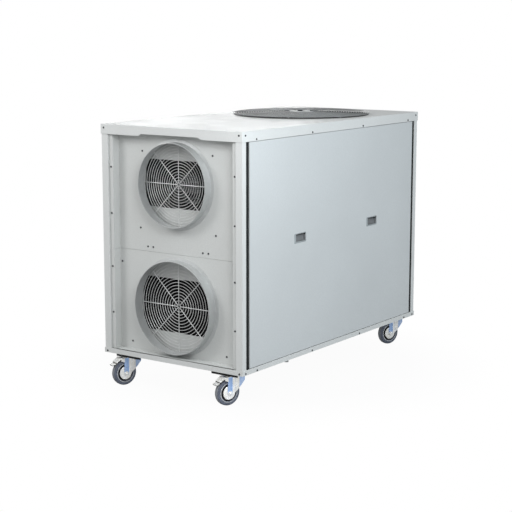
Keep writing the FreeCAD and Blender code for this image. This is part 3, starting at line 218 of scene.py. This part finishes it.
def galvanised(name, color, roughness):
    """Hot-dip zinc: crystal spangles that differ a little in tone and gloss, with drawing marks."""
    finish = Finish(name, metallic=0.55)
    crystal = finish.node("ShaderNodeSeparateColor", Color=finish.cells(70.0)).outputs["Red"]
    streak = finish.noise(40.0, detail=4.0, stretch=(1.0, 8.0, 1.0))
    base = finish.mix(finish.spread(crystal, 0.0, 1.0, 0.0, 1.0), shade(color, 0.98), shade(color, 1.015))
    base = finish.mix(finish.spread(streak, 0.0, 0.35), base, shade(color, 0.93))
    gloss = finish.spread(crystal, roughness - 0.03, roughness + 0.05, 0.0, 1.0)
    finish.bump((streak, 0.0001), (finish.noise(700.0), 0.00003))
    return finish.finish(base, gloss)


def zinc_plate(name):
    """Bright electroplated zinc; a piece's tint layer carries a blue that paints shade and the reflection of
    darker surroundings on facets that face away from the light.
    """
    finish = Finish(name, metallic=0.35)
    bright, warm, shaded_blue = (0.985, 0.985, 0.985), (0.95, 0.945, 0.92), (0.56, 0.70, 0.90)
    bloom = finish.noise(45.0)
    base = finish.mix(finish.spread(bloom, 0.0, 1.0, 0.35, 0.65), bright, warm)
    # The blue on tinted facets is painted shade and reflection of darker surroundings.
    base = finish.mix(finish.tint(), base, shaded_blue)
    base = finish.mix(finish.spread(finish.noise(160.0), 0.0, 0.10), base, (0.78, 0.82, 0.88))
    # Corners and gaps turn dark grey: grime, and painted shade.
    grime_and_shade = finish.math("MULTIPLY", finish.corner_shade(0.004), 0.4)
    base = finish.mix(grime_and_shade, base, (0.30, 0.31, 0.33))
    finish.bump((finish.noise(220.0), 0.00008), (finish.noise(1400.0), 0.00003))
    return finish.finish(base, finish.spread(bloom, 0.24, 0.38))


def wire_metal(name, color, metallic, roughness):
    """Drawn wire or plain metal, darker at its welds and in other corners as painted shade, with a fine
    grain.
    """
    finish = Finish(name, metallic=metallic)
    base = finish.mottled(color, 0.9, 1.04, 30.0, detail=4.0)
    # Darker at welds and in corners: weld marks, and painted shade.
    weld_and_shade = finish.math("MULTIPLY", finish.corner_shade(0.004), 0.5)
    base = finish.mix(weld_and_shade, base, shade(color, 0.6))
    finish.bump((finish.noise(900.0, detail=2.0), 0.00005))
    return finish.finish(base, finish.spread(finish.noise(120.0), roughness - 0.06, roughness + 0.1))


def paint(name, color, roughness, coat=0.0):
    """Plain machine paint or moulded plastic with mottling, dust and painted shade in corners, and rubbed
    edges.
    """
    finish = Finish(name, coat=coat)
    base = finish.mottled(color, 0.9, 1.08, 14.0, detail=5.0)
    # Corners and gaps take a dull grey: dust, and painted shade.
    dust_and_shade = finish.math("MULTIPLY", finish.corner_shade(0.015), 0.25)
    base = finish.mix(dust_and_shade, base, finish.mix(0.4, base, (0.5, 0.49, 0.47)))
    rub = finish.math("MULTIPLY", finish.worn_edges(0.0008), 0.25)
    base = finish.mix(rub, base, finish.mix(0.5, base, (0.75, 0.75, 0.75)))
    finish.bump((finish.noise(300.0, detail=2.0), 0.00006))
    return finish.finish(base, finish.spread(finish.noise(30.0), roughness - 0.05, roughness + 0.12))


def rubber(name, color, worn_and_highlight):
    """Tyre rubber: mottled, with dust worked in and painted shade in corners; a piece's tint layer marks the
    paler parts, worn tread and a painted highlight on each bead.
    """
    finish = Finish(name, specular=0.3)
    base = finish.mottled(color, 0.9, 1.08, 55.0, detail=6.0)
    # The tint layer pales the worn tread and paints a highlight on the beads.
    base = finish.mix(finish.tint(), base, worn_and_highlight)
    scuff = finish.spread(finish.noise(240.0, detail=4.0), 0.0, 0.35, 0.5, 0.75)
    base = finish.mix(scuff, base, shade(color, 1.25))
    # Darker in corners and gaps: painted shade.
    dust_and_shade = finish.math("MULTIPLY", finish.corner_shade(0.008), 0.6)
    base = finish.mix(dust_and_shade, base, shade(color, 0.6))
    finish.bump((finish.noise(150.0), 0.00015), (finish.noise(900.0), 0.00005))
    return finish.finish(base, finish.spread(finish.noise(80.0), 0.52, 0.74))


def foam(name, color):
    """Closed-cell sealing foam."""
    finish = Finish(name, specular=0.15)
    cell = finish.cells(900.0, "Distance")
    base = finish.mottled(color, 0.8, 1.15, 20.0)
    finish.bump((cell, 0.0003))
    return finish.finish(base, 0.9)


def fin_stock(name):
    """Aluminium fins with brushed streaks and dust on the air side."""
    finish = Finish(name, metallic=0.8)
    streak = finish.noise(30.0, detail=5.0, stretch=(6.0, 1.0, 0.3))
    base = finish.mix(finish.spread(streak, 0.0, 1.0), (0.72, 0.73, 0.74), (0.86, 0.87, 0.87))
    dust_and_shade = finish.math("MULTIPLY", finish.noise(8.0), 0.4)
    base = finish.mix(dust_and_shade, base, (0.55, 0.53, 0.49))
    finish.bump((streak, 0.0001))
    return finish.finish(base, finish.spread(streak, 0.3, 0.5))


def copper(name):
    finish = Finish(name, metallic=0.95)
    patina = finish.noise(18.0, detail=5.0)
    base = finish.mix(finish.spread(patina, 0.0, 1.0), (0.80, 0.52, 0.40), (0.58, 0.36, 0.27))
    finish.bump((finish.noise(300.0), 0.00005))
    return finish.finish(base, finish.spread(patina, 0.22, 0.45))


FINISHES = {
    "cabinet_light": powder_coat("cabinet_light", (0.90, 0.91, 0.908)),
    "cabinet_grey": powder_coat("cabinet_grey", (0.85, 0.868, 0.875)),
    "recess_grey": powder_coat("recess_grey", (0.86, 0.87, 0.865)),
    "galvanised": galvanised("galvanised", (0.82, 0.83, 0.83), 0.5),
    "zinc_plate": zinc_plate("zinc_plate"),
    "stainless_wire": wire_metal("stainless_wire", (0.91, 0.915, 0.915), 0.2, 0.34),
    "dark_wire": wire_metal("dark_wire", (0.56, 0.57, 0.57), 0.3, 0.42),
    "dark_screw": wire_metal("dark_screw", (0.34, 0.35, 0.36), 0.5, 0.35),
    "black_steel": paint("black_steel", (0.085, 0.085, 0.09), 0.5),
    "black_plastic": paint("black_plastic", (0.075, 0.078, 0.085), 0.45),
    "grey_plastic": paint("grey_plastic", (0.62, 0.64, 0.65), 0.5),
    "seal_rubber": foam("seal_rubber", (0.16, 0.165, 0.17)),
    "tyre_grey": rubber("tyre_grey", (0.33, 0.35, 0.40), (0.72, 0.73, 0.73)),
    "pull_frame": paint("pull_frame", (0.63, 0.66, 0.67), 0.5),
    "pull_cup": paint("pull_cup", (0.47, 0.48, 0.49), 0.5),
    # The darkest pull finish is painted shadow for the upper band of each cup.
    "pull_grip": paint("pull_grip", (0.24, 0.25, 0.26), 0.5),
    "hub_metal": wire_metal("hub_metal", (0.80, 0.81, 0.81), 0.3, 0.4),
    "aluminium_fin": fin_stock("aluminium_fin"),
    "copper": copper("copper"),
    "motor_paint": paint("motor_paint", (0.24, 0.26, 0.29), 0.4),
    "filter_media": foam("filter_media", (0.08, 0.08, 0.085)),
    "knob_red": paint("knob_red", (0.66, 0.09, 0.07), 0.3, coat=0.3),
    "inlet_red": paint("inlet_red", (0.62, 0.08, 0.06), 0.35, coat=0.2),
}


SPECIAL_FINISHES = {
    "fan_motor": "hub_metal",
    # Black on the fan and blower parts darkens the inside seen through the openings: painted shade in place
    # of their slots' finishes.
    "fan_venturi": "black_steel",
    "fan_impeller": "black_steel",
    "blower_housing": "black_steel",
    "blower_impeller": "black_steel",
}


def dress_nodes():
    """Gives each CAD node the finish of its material slot, or the one listed for it above, where black on
    the inside parts is painted shade.
    """
    slots = {entry["node"]: entry["material_slot"] for entry in frame["record"]["subparts"]}
    for name, item in NODES.items():
        finish = FINISHES[SPECIAL_FINISHES.get(name, slots[name])]
        if not item.material_slots:
            item.data.materials.append(finish)
        for slot in item.material_slots:
            slot.link = "OBJECT"
            slot.material = finish


EDGE_WIDTH = 0.0006
SHEET_NODES = (
    "base_tray", "roof_cap", "post_front_left", "post_front_right", "post_rear_left", "post_rear_right",
    "duct_panel_upper", "duct_panel_lower", "baffle_plate", "side_panel_left", "side_panel_right",
    "rear_panel", "control_panel", "electrical_box", "caster_channels", "caster_top_plates",
    "power_inlet", "isolator_knob", "humidistat_knob", "supply_collar", "return_collar",
)


def soften(name):
    """Rounds a CAD node's hard edges with modifiers, as folded or moulded edges are."""
    item = NODES[name]
    weld_and_shade = item.modifiers.new("Weld", "WELD")
    weld_and_shade.merge_threshold = 0.00001
    bevel = item.modifiers.new("Edges", "BEVEL")
    bevel.width = EDGE_WIDTH
    bevel.segments = 2
    bevel.limit_method = "ANGLE"
    bevel.angle_limit = math.radians(40)
    bevel.harden_normals = False
    normals = item.modifiers.new("Normals", "WEIGHTED_NORMAL")
    normals.keep_sharp = True


# ----------------------------------------------------------------------------------------------
# Mesh helpers
# ----------------------------------------------------------------------------------------------


def new_piece(name, mesh_data, *finishes):
    """An object from bmesh data, with its finishes in the order of the faces' material numbers."""
    mesh = bpy.data.meshes.new(name)
    bmesh.ops.recalc_face_normals(mesh_data, faces=mesh_data.faces)
    mesh_data.to_mesh(mesh)
    mesh_data.free()
    for finish in finishes:
        mesh.materials.append(finish)
    piece = bpy.data.objects.new(name, mesh)
    COLLECTION.objects.link(piece)
    return piece


def smooth(piece, angle):
    """Smooth shading, with edges steeper than the angle kept sharp."""
    for polygon in piece.data.polygons:
        polygon.use_smooth = True
    piece.data.set_sharp_from_angle(angle=math.radians(angle))


def add_turned(data, profile, place, steps):
    """Turns a closed profile; place(radius, along, angle) says where a point goes, in millimetres."""
    rings = []
    for step in range(steps):
        angle = 2 * math.pi * step / steps
        rings.append([data.verts.new(Vector(place(radius, along, angle)) * MM) for radius, along in profile])
    for step in range(steps):
        ring, following = rings[step], rings[(step + 1) % steps]
        for index in range(len(profile)):
            upper = (index + 1) % len(profile)
            data.faces.new((ring[index], ring[upper], following[upper], following[index]))


def add_lathe(data, profile, centre, steps):
    """Turns (radius, x) points about an axle: the X direction through centre = (y, z)."""
    def place(radius, along, angle):
        return along, centre[0] + radius * math.cos(angle), centre[1] + radius * math.sin(angle)

    add_turned(data, profile, place, steps)


def add_turned_z(data, profile, steps):
    """Turns (radius, z) points about the Z axis."""
    def place(radius, along, angle):
        return radius * math.cos(angle), radius * math.sin(angle), along

    add_turned(data, profile, place, steps)


def add_slab(data, outline, low, high, material=0):
    """Extrudes a (y, z) outline from x = low to x = high, in millimetres."""
    first = [data.verts.new(Vector((low, y, z)) * MM) for y, z in outline]
    second = [data.verts.new(Vector((high, y, z)) * MM) for y, z in outline]
    faces = [data.faces.new(first), data.faces.new(list(reversed(second)))]
    for index in range(len(outline)):
        following = (index + 1) % len(outline)
        faces.append(data.faces.new((first[index], first[following], second[following], second[index])))
    for face in faces:
        face.material_index = material


def arc(centre, radius, start, end, steps):
    """Points on an arc, in degrees."""
    points = []
    for step in range(steps + 1):
        angle = math.radians(start + (end - start) * step / steps)
        points.append((centre[0] + radius * math.cos(angle), centre[1] + radius * math.sin(angle)))
    return points


def round_edges(piece, width, segments, angle):
    """Rounds a piece's edges that are steeper than the angle; the width is in millimetres."""
    bevel = piece.modifiers.new("Edges", "BEVEL")
    bevel.width = width * MM
    bevel.segments = segments
    bevel.limit_method = "ANGLE"
    bevel.angle_limit = math.radians(angle)


# ----------------------------------------------------------------------------------------------
# Casters
# ----------------------------------------------------------------------------------------------

# Sizes in millimetres, in a caster's own axes: X along the axle, the wheel trailing to -Y, floor at Z = 0
TRAIL = 38.0
AXLE_Z = 62.5
AXLE = (-TRAIL, AXLE_Z)
CROWN_TOP = 141.0
CROWN_LOW = 138.0
CROWN_RADIUS = 34.0
LEADING = 46.0
TRAILING = -48.0
LEG_X = 25.0
LEG_SHEET = 2.6
LEG_LEVELS = 14
PRESSED_FROM, PRESSED_TO = 66.0, 82.0
SHADED_BLUE_FROM, SHADED_BLUE_TO = 58.0, 72.0
PIN = (-59.0, 131.0)
PIN_RADIUS = 3.5
TREAD_RADIUS = 61.6
BEAD_HIGHLIGHT = (44.5, 47.0)


def caster_matrix(corner):
    """From a caster's own axes to the frame's."""
    swivel = JOINTS[f"caster_swivel_{corner}"]["pos_m"]
    axle = Vector(JOINTS[f"wheel_spin_{corner}"]["axis"])
    up = Vector((0, 0, 1))
    rotation = Matrix((axle, up.cross(axle), up)).transposed().to_4x4()
    return Matrix.Translation((swivel[0], swivel[1], 0)) @ rotation


def seat(piece, corner, body, node):
    """Puts a piece drawn in a caster's own axes on its corner, where it stands in for a CAD node."""
    piece.data.transform(caster_matrix(corner))
    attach(piece, body)
    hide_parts(node)


def make_tyre(corner):
    """A crowned tread with a shallow groove by each shoulder and a raised bead on each side."""
    half = [
        (40.0, 13.4), (42.0, 14.8), (43.8, 16.2), (45.2, 16.7), (46.6, 16.2), (47.8, 14.7), (48.8, 14.6),
        (52.5, 15.3), (56.0, 14.9), (58.8, 13.6), (60.7, 11.6), (61.4, 10.4), (61.1, 9.9), (61.7, 9.3),
        (62.3, 6.0), (62.5, 2.0),
    ]
    profile = half + [(radius, -along) for radius, along in reversed(half)]
    data = bmesh.new()
    tint = data.verts.layers.float.new("tint")
    add_lathe(data, profile, AXLE, steps=128)
    # Tint 1 on the bead paints a highlight on it; tint 0.35 on the tread is wear.
    for vertex in data.verts:
        radius = math.hypot(vertex.co.y / MM - AXLE[0], vertex.co.z / MM - AXLE[1])
        if BEAD_HIGHLIGHT[0] < radius < BEAD_HIGHLIGHT[1]:
            vertex[tint] = 1.0
        elif radius > TREAD_RADIUS:
            vertex[tint] = 0.35
    piece = new_piece(f"tyre_{corner}", data, FINISHES["tyre_grey"])
    smooth(piece, 50)
    seat(piece, corner, f"wheel_{corner}", f"caster_tyre_{corner}")


def make_rim(corner):
    """A black plastic centre: tyre seat, dished web and hub."""
    half = [
        (6.2, 20.0), (14.0, 20.0), (18.0, 5.0), (34.5, 5.0), (36.5, 6.5), (38.2, 13.4), (39.0, 14.6),
        (40.0, 14.8),
    ]
    profile = half + [(radius, -along) for radius, along in reversed(half)]
    data = bmesh.new()
    add_lathe(data, profile, AXLE, steps=96)
    piece = new_piece(f"rim_{corner}", data, FINISHES["black_plastic"])
    smooth(piece, 40)
    seat(piece, corner, f"wheel_{corner}", f"caster_rim_{corner}")


LEG_SECTION = (
    # (y, x, tint): the pressed section, trailing to leading edge; tint paints blue shade, the pale ridge a
    # highlight
    (-48.0, 23.8, 1.0),
    (-46.5, 25.0, 0.8),
    (-27.0, 25.0, 1.0),
    (-24.0, 25.4, 0.5),
    (-21.5, 27.4, 0.0),
    (-10.5, 27.8, 0.0),
    (-9.0, 27.1, 0.45),
    (-7.5, 27.8, 0.0),
    (9.0, 27.6, 0.0),
    (14.0, 25.4, 0.3),
    (17.0, 25.0, 0.8),
    (36.0, 25.0, 0.7),
    (42.0, 24.6, 1.0),
    (46.0, 22.8, 1.0),
)
LEG_STATIONS = (-45.0, -38.0, -33.0, -2.0, 3.0, 30.0)
LEG_EDGE = (
    # (y, z): the lower edge of a leg
    (-48.0, 59.0), (-43.0, 50.5), (-28.0, 50.5), (-16.0, 56.5), (-6.0, 65.5), (23.0, 90.5), (46.0, 116.0),
)


def between(points, y):
    """The values at y of a row of (y, value, ...) points."""
    for first, second in zip(points, points[1:]):
        if first[0] <= y <= second[0]:
            share = (y - first[0]) / (second[0] - first[0])
            return [low + (high - low) * share for low, high in zip(first[1:], second[1:])]
    return list(points[-1][1:])


def clamp(value, low, high):
    return min(high, max(low, value))


def add_leg(data, side, tint):
    """One pressed leg, as a sheet that follows the section and turns flat towards the axle, where its
    painted blue shade fades.
    """
    stations = sorted({point[0] for point in LEG_SECTION + LEG_EDGE} | set(LEG_STATIONS))
    inner, outer = [], []
    for y in stations:
        x, shaded_blue = between(LEG_SECTION, y)
        low, = between(LEG_EDGE, y)
        for store, offset in ((outer, 0.0), (inner, -LEG_SHEET)):
            column = []
            for level in range(LEG_LEVELS + 1):
                z = low + (CROWN_LOW + 0.5 - low) * level / LEG_LEVELS
                pressed = clamp((z - PRESSED_FROM) / (PRESSED_TO - PRESSED_FROM), 0.0, 1.0)
                depth = LEG_X + (x - LEG_X) * pressed + offset
                vertex = data.verts.new(Vector((side * depth, y, z)) * MM)
                # The tint is painted shade: blue on facets that face away from the light, fading out low on
                # the leg.
                vertex[tint] = shaded_blue * clamp((z - SHADED_BLUE_FROM) / (SHADED_BLUE_TO - SHADED_BLUE_FROM), 0.15, 1.0)
                column.append(vertex)
            store.append(column)
    for index in range(len(stations) - 1):
        for level in range(LEG_LEVELS):
            for store in (outer, inner):
                data.faces.new((
                    store[index][level], store[index + 1][level],
                    store[index + 1][level + 1], store[index][level + 1],
                ))
    for index in range(len(stations) - 1):
        for level in (0, LEG_LEVELS):
            data.faces.new((
                outer[index][level], outer[index + 1][level], inner[index + 1][level], inner[index][level],
            ))
    for index in (0, len(stations) - 1):
        for level in range(LEG_LEVELS):
            data.faces.new((
                outer[index][level], outer[index][level + 1], inner[index][level + 1], inner[index][level],
            ))


def add_crown(data):
    """The flat top of the fork, rounded in front."""
    crown = arc((0, LEADING - CROWN_RADIUS), CROWN_RADIUS, 0, 180, 16)
    crown = [(x * LEG_X / CROWN_RADIUS, y) for x, y in crown] + [(-LEG_X, TRAILING), (LEG_X, TRAILING)]
    lower = [data.verts.new(Vector((x, y, CROWN_LOW)) * MM) for x, y in crown]
    upper = [data.verts.new(Vector((x, y, CROWN_TOP)) * MM) for x, y in crown]
    data.faces.new(lower)
    data.faces.new(list(reversed(upper)))
    for index in range(len(crown)):
        following = (index + 1) % len(crown)
        data.faces.new((lower[index], lower[following], upper[following], upper[index]))


def add_rod(data, radius, half_length, centre, steps):
    """A solid pin along X."""
    section = [(0.1, -half_length), (radius, -half_length), (radius, half_length), (0.1, half_length)]
    add_lathe(data, section, centre, steps)


def make_fork(corner):
    """Crown, bearing bowl, pressed legs, domed thread guards, axle bolt and pedal pin."""
    data = bmesh.new()
    tint = data.verts.layers.float.new("tint")
    for side in (-1, 1):
        add_leg(data, side, tint)
    add_crown(data)
    bowl = [(0.1, 140.0), (34.0, 140.0), (34.0, 144.5), (32.0, 146.8), (9.0, 146.8), (0.1, 146.8)]
    add_turned_z(data, bowl, steps=48)
    dish = [
        (6.0, 20.6), (12.0, 21.4), (20.0, 20.6), (27.0, 20.9), (31.0, 19.8), (33.0, 17.4), (33.0, 16.6),
        (32.0, 17.2), (30.0, 18.9), (26.0, 19.8), (6.0, 19.8),
    ]
    ear = [(-65, 139), (-47, 139.5), (-47, 118), (-65, 125)]
    for side in (-1, 1):
        add_lathe(data, [(radius, side * along) for radius, along in dish], AXLE, steps=64)
        add_slab(data, ear, side * 22, side * LEG_X)
    bolt_head = [
        (0.1, 24.5), (9.5, 24.5), (9.5, 26.0), (7.4, 26.4), (7.4, 29.0), (5.4, 31.4), (2.5, 32.6),
        (0.1, 32.8),
    ]
    add_lathe(data, bolt_head, AXLE, steps=32)
    nut = [
        (0.1, -24.5), (9.5, -24.5), (9.5, -26.0), (8.6, -26.2), (8.6, -31.5), (6.5, -32.5), (5.0, -33.6),
        (0.1, -33.8),
    ]
    add_lathe(data, nut, AXLE, steps=6)
    add_rod(data, 6, 24, AXLE, steps=24)
    add_rod(data, PIN_RADIUS, 26.5, PIN, steps=20)
    piece = new_piece(f"fork_{corner}", data, FINISHES["zinc_plate"])
    smooth(piece, 28)
    round_edges(piece, 0.5, 1, 60)
    seat(piece, corner, f"swivel_{corner}", f"caster_fork_{corner}")


STEEL, RUBBER = 0, 1
PEDAL_HALF = 21.4
PEDAL_PLATES = (
    # (half width, material, outline as (y, z) from the pin)
    (PEDAL_HALF, STEEL, (  # tread plate
        (0.5, 8.0), (-8, 5.2), (-28, -7.4), (-30, -9.6), (-29.4, -12.4), (-26.4, -10.2), (-7, 1.6),
        (-1, 3.2),
    )),
    (16.0, STEEL, (  # lip
        (-28, -15.2), (-49, -20.1), (-50, -21.1), (-49.6, -23.7), (-48, -23.5), (-28, -18.6),
    )),
    (12.0, RUBBER, (  # cam under the hub
        (-3, -1), (-15, -5), (-15, -11), (-11, -12), (-3, -5),
    )),
    (20.8, RUBBER, (  # facing under the tread
        (-3.2, 1.8), (-8, 0.6), (-26.4, -11.4), (-26.6, -12.6), (-8, -1.4), (-3.0, 0.2),
    )),
    (21.0, RUBBER, (  # step
        (-25.6, -9.2), (-29.6, -12.0), (-31.0, -19.2), (-26.5, -18.6),
    )),
    (15.0, RUBBER, (  # facing under the lip
        (-33, -20.4), (-49.4, -24.1), (-49.0, -26.4), (-36, -24.6),
    )),
)


def make_pedal(corner):
    """A tread plate on a rolled hub, a black step and a narrower lip, with black facings below."""
    data = bmesh.new()
    bore, outside = PIN_RADIUS + 0.1, 6.3
    hub = [(bore, -PEDAL_HALF), (outside, -PEDAL_HALF), (outside, PEDAL_HALF), (bore, PEDAL_HALF)]
    add_lathe(data, hub, PIN, steps=32)
    for half, material, outline in PEDAL_PLATES:
        add_slab(data, [(PIN[0] + y, PIN[1] + z) for y, z in outline], -half, half, material)
    piece = new_piece(f"pedal_{corner}", data, FINISHES["zinc_plate"], FINISHES["black_plastic"])
    smooth(piece, 30)
    round_edges(piece, 0.7, 2, 50)
    seat(piece, corner, f"pedal_{corner}", f"brake_pedal_{corner}")


# ----------------------------------------------------------------------------------------------
# Panel pulls
# ----------------------------------------------------------------------------------------------

# Sizes in millimetres, in the frame's axes
PANEL_FACE = 416.5
PULL_Y = 335.0
PULL_Z = 744.0
PULL_HALF = (51.0, 23.5)
PULL_BORDER = (7.5, 4.2)
PULL_SHIFT = (5.0, 2.2)
PULL_DEPTHS = (8.0, 18.5)
SHADOW_SHARE = 0.45
FRAME, CUP, SHADOWED = 0, 1, 2
FRAME_BANDS = 4


def rounded_rectangle(half_y, half_z, radius):
    points = []
    for corner_y, corner_z, start in ((1, 1, 0), (-1, 1, 90), (-1, -1, 180), (1, -1, 270)):
        centre = (corner_y * (half_y - radius), corner_z * (half_z - radius))
        points += arc(centre, radius, start, start + 90, 4)
    return points


def pull_loops(side):
    """Closed loops of (out, y, z) about a pull's middle, from the frame's rim down to the hollow's back."""
    half_y, half_z = PULL_HALF
    loops = []
    for out, inset, radius in ((0.05, 0.0, 4.0), (0.9, 0.4, 3.8), (1.2, 1.4, 3.2)):
        outline = rounded_rectangle(half_y - inset, half_z - inset, radius)
        loops.append([(out, y, z) for y, z in outline])
    hollow_y, hollow_z = half_y - PULL_BORDER[0], half_z - PULL_BORDER[1]
    shift_y, shift_z = side * PULL_SHIFT[0], PULL_SHIFT[1]
    for out, inset, radius in ((1.2, 0.0, 2.4), (0.6, 0.6, 2.0), (-1.5, 1.0, 1.8)):
        outline = rounded_rectangle(hollow_y - inset, hollow_z - inset, radius)
        loops.append([(out, shift_y + y, shift_z + z) for y, z in outline])
    back = []
    shallow, deep = PULL_DEPTHS
    for y, z in rounded_rectangle(hollow_y - 2.0, hollow_z - 1.8, 1.5):
        rise = (z + half_z) / (2 * half_z)
        back.append((-shallow - (deep - shallow) * rise, shift_y + y, shift_z + z))
    return loops + [back]


def add_pull(data, side, centre_y):
    """Skins one pull's loops and closes the back of its hollow."""
    rings = []
    for loop in pull_loops(side):
        rings.append([
            data.verts.new(Vector((side * (PANEL_FACE + out), centre_y + y, PULL_Z + z)) * MM)
            for out, y, z in loop
        ])
    for index, (ring, following) in enumerate(zip(rings, rings[1:])):
        for corner in range(len(ring)):
            after = (corner + 1) % len(ring)
            face = data.faces.new((ring[corner], ring[after], following[after], following[corner]))
            face.material_index = FRAME if index < FRAME_BANDS else CUP
    back = data.faces.new(rings[-1])
    back.material_index = CUP


def paint_cup_shadows(data):
    """Splits the cups below their top and gives the upper part a darker finish, painted shadow under the top
    edge.
    """
    shadow_z = (PULL_Z + SHADOW_SHARE * PULL_HALF[1]) * MM
    everything = data.verts[:] + data.edges[:] + data.faces[:]
    bmesh.ops.bisect_plane(data, geom=everything, plane_co=(0, 0, shadow_z), plane_no=(0, 0, 1))
    for face in data.faces:
        if face.material_index == CUP and face.calc_center_median().z > shadow_z:
            face.material_index = SHADOWED


def make_pulls(side, label):
    """Two pressed cups: a light frame, wider at one end, round a hollow that slopes up to a dark band of
    painted shadow.
    """
    data = bmesh.new()
    for centre_y in (-PULL_Y, PULL_Y):
        add_pull(data, side, centre_y)
    paint_cup_shadows(data)
    finishes = [FINISHES[name] for name in ("pull_frame", "pull_cup", "pull_grip")]
    piece = new_piece(f"pulls_{label}", data, *finishes)
    smooth(piece, 30)
    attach(piece, f"side_panel_{label}")
    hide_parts(f"panel_pulls_{label}")


# ----------------------------------------------------------------------------------------------
# Stage, light and camera
# ----------------------------------------------------------------------------------------------

CAMERA_PLACE = Vector((3.96905, -5.73604, 1.78573))
CAMERA_AZIMUTH = math.radians(35.212)
CAMERA_ELEVATION = math.radians(9.926)
CAMERA_LENS = 96.17
FLOOR_HALF = 30.0
FADE_SHARES = (0.96, 1.0)
FADE_RADII = (0.7, 1.2)
SEEN_STRENGTH = 1.0
DOME_STRENGTH = 0.43


def make_camera():
    data = bpy.data.cameras.new("camera")
    data.sensor_width = 36.0
    data.lens = CAMERA_LENS
    data.clip_end = 100.0
    camera = bpy.data.objects.new("camera", data)
    COLLECTION.objects.link(camera)
    back = Vector((
        math.sin(CAMERA_AZIMUTH) * math.cos(CAMERA_ELEVATION),
        -math.cos(CAMERA_AZIMUTH) * math.cos(CAMERA_ELEVATION),
        math.sin(CAMERA_ELEVATION),
    ))
    camera.location = CAMERA_PLACE
    camera.rotation_mode = "QUATERNION"
    camera.rotation_quaternion = (-back).to_track_quat("-Z", "Y")
    bpy.context.scene.camera = camera


def make_floor():
    """A pale floor that takes light shadows near the object and fades to white away from it."""
    mesh = bpy.data.meshes.new("floor")
    half = FLOOR_HALF
    corners = [(-half, -half, 0), (half, -half, 0), (half, half, 0), (-half, half, 0)]
    mesh.from_pydata(corners, [], [(0, 1, 2, 3)])
    floor = bpy.data.objects.new("floor", mesh)
    COLLECTION.objects.link(floor)
    finish = Finish("floor", specular=0.1)
    tone = finish.noise(1.5)
    color = finish.mix(finish.spread(tone, 0.0, 1.0), (0.70, 0.70, 0.70), (0.72, 0.72, 0.72))
    finish.finish(color, 0.8)
    white = finish.node("ShaderNodeEmission", Color=(1, 1, 1, 1), Strength=1.0)
    reach = finish.tree.nodes.new("ShaderNodeVectorMath")
    reach.operation = "LENGTH"
    finish.feed(reach.inputs[0], finish.place)
    fade = finish.spread(reach.outputs["Value"], *FADE_SHARES, *FADE_RADII)
    seen = finish.node("ShaderNodeLightPath").outputs["Is Camera Ray"]
    mix = finish.node("ShaderNodeMixShader", Fac=finish.math("MULTIPLY", fade, seen))
    finish.feed(mix.inputs[1], finish.shader.outputs["BSDF"])
    finish.feed(mix.inputs[2], white.outputs["Emission"])
    finish.feed(finish.output.inputs["Surface"], mix.outputs["Shader"])
    mesh.materials.append(finish.material)


def make_world():
    """White behind the object, and an even soft dome that lights it."""
    world = bpy.data.worlds.new("world")
    world.use_nodes = True
    tree = world.node_tree
    tree.nodes.clear()
    output = tree.nodes.new("ShaderNodeOutputWorld")
    seen = tree.nodes.new("ShaderNodeBackground")
    seen.inputs["Strength"].default_value = SEEN_STRENGTH
    light = tree.nodes.new("ShaderNodeBackground")
    light.inputs["Strength"].default_value = DOME_STRENGTH
    mix = tree.nodes.new("ShaderNodeMixShader")
    path = tree.nodes.new("ShaderNodeLightPath")
    tree.links.new(path.outputs["Is Camera Ray"], mix.inputs["Fac"])
    tree.links.new(light.outputs["Background"], mix.inputs[1])
    tree.links.new(seen.outputs["Background"], mix.inputs[2])
    tree.links.new(mix.outputs["Shader"], output.inputs["Surface"])
    for node in (seen, light):
        node.inputs["Color"].default_value = (1, 1, 1, 1)
    bpy.context.scene.world = world


WHITE = (1.0, 1.0, 1.0)
SKY = (0.84, 0.94, 1.0)
LAMPS = (
    # (name, place, target, width, height, power, colour), in metres and watts
    ("corner_key", (1.5, -1.9, 1.9), (0.5, -0.6, 1.1), 0.7, 0.7, 16.0, WHITE),
    ("front_key", (-1.8, -2.6, 2.4), (-0.2, -0.8, 0.9), 1.2, 1.2, 31.0, WHITE),
    ("side_fill", (3.0, 0.2, 1.9), (0.4, 0.1, 0.9), 1.6, 1.6, 28.0, SKY),
    ("side_near", (1.3, -1.2, 1.6), (0.42, -0.5, 1.1), 0.4, 0.6, 3.5, SKY),
    ("rear_fill", (-3.0, 3.2, 1.3), (-0.2, 0.4, 0.6), 2.0, 2.0, 75.0, WHITE),
    ("caster_light", (2.6, -2.6, 0.6), (0.1, -0.3, 0.1), 0.8, 0.8, 45.0, WHITE),
)
CASTER_PIECES = ("tyre_", "rim_", "fork_", "pedal_")


def softbox(name, place, target, width, height, power, color):
    """A rectangular area lamp that faces its target."""
    data = bpy.data.lights.new(name, "AREA")
    data.color = color
    data.shape = "RECTANGLE"
    data.size = width
    data.size_y = height
    data.energy = power
    lamp = bpy.data.objects.new(name, data)
    COLLECTION.objects.link(lamp)
    lamp.location = place
    lamp.rotation_mode = "QUATERNION"
    lamp.rotation_quaternion = (Vector(target) - Vector(place)).to_track_quat("-Z", "Y")
    return lamp


def make_light():
    """Keys on the near corner and the duct end, cool light on the side, and a lamp for the casters alone."""
    lamps = {settings[0]: softbox(*settings) for settings in LAMPS}
    casters = bpy.data.collections.new("lit_casters")
    for piece in COLLECTION.objects:
        if piece.name.startswith(CASTER_PIECES):
            casters.objects.link(piece)
    lamps["caster_light"].light_linking.receiver_collection = casters
    scene = bpy.context.scene
    scene.view_settings.view_transform = "Standard"
    scene.view_settings.look = "None"


# ----------------------------------------------------------------------------------------------
# Assembly
# ----------------------------------------------------------------------------------------------


dress_nodes()
for caster in CORNERS:
    make_tyre(caster)
    make_rim(caster)
    make_fork(caster)
    make_pedal(caster)
make_pulls(-1, "left")
make_pulls(1, "right")
for sheet_node in SHEET_NODES:
    soften(sheet_node)
make_floor()
make_world()
make_light()
make_camera()
